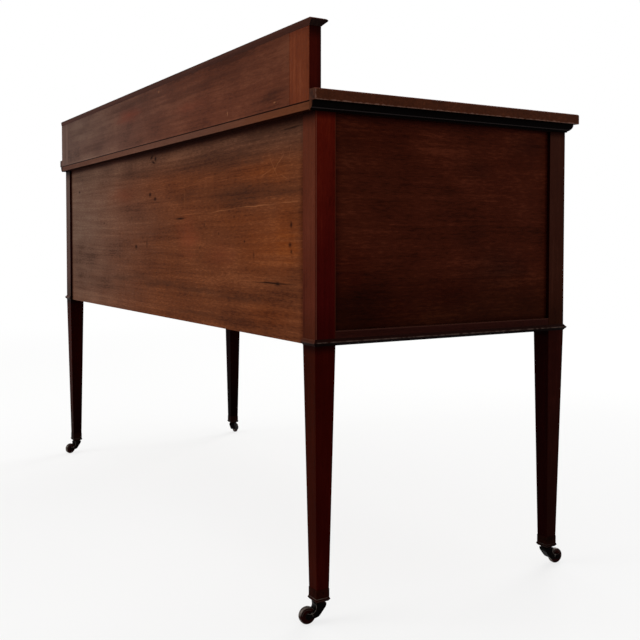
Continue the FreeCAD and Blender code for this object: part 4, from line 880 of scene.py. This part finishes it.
def cutAcross(half, normal):
    # two cuts, each this far from the middle
    for way in (1, -1):
        bpy.ops.mesh.select_all(action="SELECT")
        bpy.ops.mesh.bisect(plane_co=Vector(normal) * (half * way), plane_no=normal)


def copyTo(piece, name, place, turn, body):
    # the copy's place goes into its mesh, with its object at the origin
    copy = duplicate(piece, name)
    copy.location = place
    copy.rotation_euler = turn
    applyPlace(copy)
    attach(copy, body)


# Countersunk screw with one slot. Two hold each castor cup, at a reach from its middle and a height above the
# floor, with their slots turned.
screw = dict(radius=0.0019, proud=0.00045, sunk=0.0012, rounding=0.0002, rim=0.000228, slotWidth=0.0005,
             slotHalf=0.00152, slotDepth=0.0004, cupReach=0.011, cupHeight=0.0452, cupTurn=0.7)


def makeScrew():
    # facing up
    depth = screw["proud"] + screw["sunk"]
    bpy.ops.mesh.primitive_cylinder_add(vertices=28, radius=screw["radius"], depth=depth,
                                        location=(0, 0, screw["proud"] - depth / 2))
    piece = bpy.context.active_object
    applyPlace(piece)
    pick(piece, lambda centre, normal: normal.z > 0.9)
    bpy.ops.mesh.bevel(offset=screw["rounding"], segments=2)
    pick(piece, lambda centre, normal: normal.z > 0.98)
    bpy.ops.mesh.inset(thickness=screw["rim"])
    halfWide, halfLong = screw["slotWidth"] / 2, screw["slotHalf"]
    cutAcross(halfWide, (1, 0, 0))
    pick(piece, lambda centre, normal: normal.z > 0.98
         and abs(centre.x) < halfWide and abs(centre.y) < halfLong)
    bpy.ops.mesh.extrude_region_move(TRANSFORM_OT_translate={"value": (0, 0, -screw["slotDepth"])})
    bpy.ops.object.mode_set(mode="OBJECT")
    bpy.ops.object.shade_flat()
    return piece


# Selvedge of a drawer lock: the brass strip let into the top edge of the front, with its middle before the
# lock's back, its bolt drawn back and a screw near each end
selvedge = dict(length=0.058, width=0.0085, thickness=0.0012, proud=0.00015, rounding=0.0001, beforeBack=0.0045,
                boltLength=0.016, boltWidth=0.005, boltDepth=0.001, screwInset=0.006, screwSunk=0.00027,
                screwTurn=0.5)


def makeSelvedge(screwPiece):
    # facing up
    top = selvedge["proud"]
    bpy.ops.mesh.primitive_cube_add(size=1, location=(0, 0, top - selvedge["thickness"] / 2),
                                    scale=(selvedge["length"], selvedge["width"], selvedge["thickness"]))
    piece = bpy.context.active_object
    applyPlace(piece)
    halfLong, halfWide = selvedge["boltLength"] / 2, selvedge["boltWidth"] / 2
    bpy.ops.object.mode_set(mode="EDIT")
    cutAcross(halfLong, (1, 0, 0))
    cutAcross(halfWide, (0, 1, 0))
    pick(piece, lambda centre, normal: normal.z > 0.9
         and abs(centre.x) < halfLong and abs(centre.y) < halfWide)
    bpy.ops.mesh.extrude_region_move(TRANSFORM_OT_translate={"value": (0, 0, -selvedge["boltDepth"])})
    bpy.ops.object.mode_set(mode="OBJECT")
    rounding = piece.modifiers.new("rounding", "BEVEL")
    rounding.width = selvedge["rounding"]
    rounding.segments = 2
    rounding.limit_method = "ANGLE"
    bpy.ops.object.modifier_apply(modifier="rounding")
    reach = selvedge["length"] / 2 - selvedge["screwInset"]
    for side in (-1, 1):
        head = duplicate(screwPiece, "head")
        head.location = (side * reach, 0, top - selvedge["screwSunk"])
        head.rotation_euler = (0, 0, side * selvedge["screwTurn"])
        head.select_set(True)
    bpy.ops.object.join()
    return piece


# Square nut with the end of its bolt, behind each end of a handle, at a reach from its middle
nut = dict(side=0.0095, thickness=0.001, rounding=0.0003, boltRadius=0.0021, boltProud=0.0008,
           boltRounding=0.0004, reach=0.033, turn=0.3)


def makeNut():
    # facing up
    bpy.ops.mesh.primitive_cube_add(size=1, location=(0, 0, nut["thickness"] / 2),
                                    scale=(nut["side"], nut["side"], nut["thickness"]))
    piece = bpy.context.active_object
    applyPlace(piece)
    bpy.ops.object.mode_set(mode="EDIT")
    bpy.ops.mesh.select_all(action="SELECT")
    bpy.ops.mesh.bevel(offset=nut["rounding"], segments=2)
    bpy.ops.object.mode_set(mode="OBJECT")
    bpy.ops.mesh.primitive_cylinder_add(vertices=24, radius=nut["boltRadius"], depth=nut["thickness"],
                                        location=(0, 0, nut["thickness"] / 2 + nut["boltProud"]))
    bolt = bpy.context.active_object
    pick(bolt, lambda centre, normal: normal.z > 0.9)
    bpy.ops.mesh.bevel(offset=nut["boltRounding"], segments=3)
    bpy.ops.object.mode_set(mode="OBJECT")
    alone(piece)
    bolt.select_set(True)
    bpy.ops.object.join()
    return piece


def makeBrasses(finishes):
    head = makeScrew()
    finishWith(head, finishes["castor_cup_front_left"])
    for corner in corners:
        cup = "castor_cup_" + corner
        low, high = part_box(cup)
        middle = (low + high) / 2
        for number, way in ((1, -1), (2, 1)):
            place = (middle.x + way * screw["cupReach"], middle.y, screw["cupHeight"])
            copyTo(head, "castor_screw_" + corner + "_" + str(number), place,
                   (screw["cupTurn"] * way, way * math.pi / 2, 0), nodes[cup]["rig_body"])
    brass = finishes["drawer_centre_brasses"]
    finishWith(head, brass)
    strip = makeSelvedge(head)
    finishWith(strip, brass)
    square = makeNut()
    finishWith(square, brass)
    for name in nodes:
        if name.endswith("_brasses"):
            drawer = nodes[name]["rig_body"]
            low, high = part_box(drawer + "_front")
            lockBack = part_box(name)[1]
            place = ((low.x + high.x) / 2, lockBack.y - selvedge["beforeBack"], lockBack.z)
            copyTo(strip, "lock_selvedge_" + drawer, place, (0, 0, 0), drawer)
    for joint in joints:
        if "_bail" in joint["name"]:
            drawer = joint["parent"]
            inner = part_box(drawer + "_brasses")[1].y
            hinge = Vector(joint["pos_m"])
            for number, way in ((1, -1), (2, 1)):
                copyTo(square, "handle_nut_" + joint["child"] + "_" + str(number),
                       (hinge.x + way * nut["reach"], inner, hinge.z),
                       (-math.pi / 2, nut["turn"] * way, 0), drawer)
    for piece in (head, strip, square):
        bpy.data.objects.remove(piece)


# Floor and white room. The fill is the room's own light, and the floor turns white between the two fades.
room = dict(fill=0.65, white=(1, 1, 1, 1), floorColour=(0.83, 0.83, 0.82, 1), floorRadius=9.0, floorWhite=0.72,
            fadeFrom=1.6, fadeTo=4.5)


def makeFloor():
    finish = Finish(bpy.data.materials.new("floor"))
    x, y = finish.split(finish.place())[:2]
    reach = (x * x + y * y) ** 0.5
    fade = room["floorWhite"] + (1 - room["floorWhite"]) * reach.ramp(room["fadeFrom"], room["fadeTo"])
    plain = finish.node("BsdfDiffuse", None, {"Color": room["floorColour"]})
    white = finish.node("Emission", None, {"Color": room["white"], "Strength": 1.0})
    both = finish.node("MixShader", None, {0: fade * finish.whiteRays(), 1: plain, 2: white})
    finish.node("OutputMaterial", None, {"Surface": both})
    bpy.ops.mesh.primitive_circle_add(vertices=96, radius=room["floorRadius"], fill_type="NGON")
    floor = bpy.context.active_object
    floor.name = "floor"
    floor.data.materials.append(finish.owner)


def makeWorld():
    finish = Finish(bpy.data.worlds.new("room"))
    light = finish.node("Background", None, {"Color": room["white"], "Strength": room["fill"]})
    white = finish.node("Background", None, {"Color": room["white"], "Strength": 1.0})
    both = finish.node("MixShader", None, {0: finish.whiteRays(), 1: light, 2: white})
    finish.node("OutputWorld", None, {"Surface": both})
    bpy.context.scene.world = finish.owner


makeCamera()
makeLamps()
makeFloor()
makeWorld()
print("room ready")
finishes = dressNodes()
print("finishes:", len(finishes))
for name, width in eased.items():
    easeBoard(name, width)
print("boards eased:", len(eased))
makeBrasses(finishes)
print("small brasses made")

bpy.context.scene.view_settings.view_transform = "Standard"
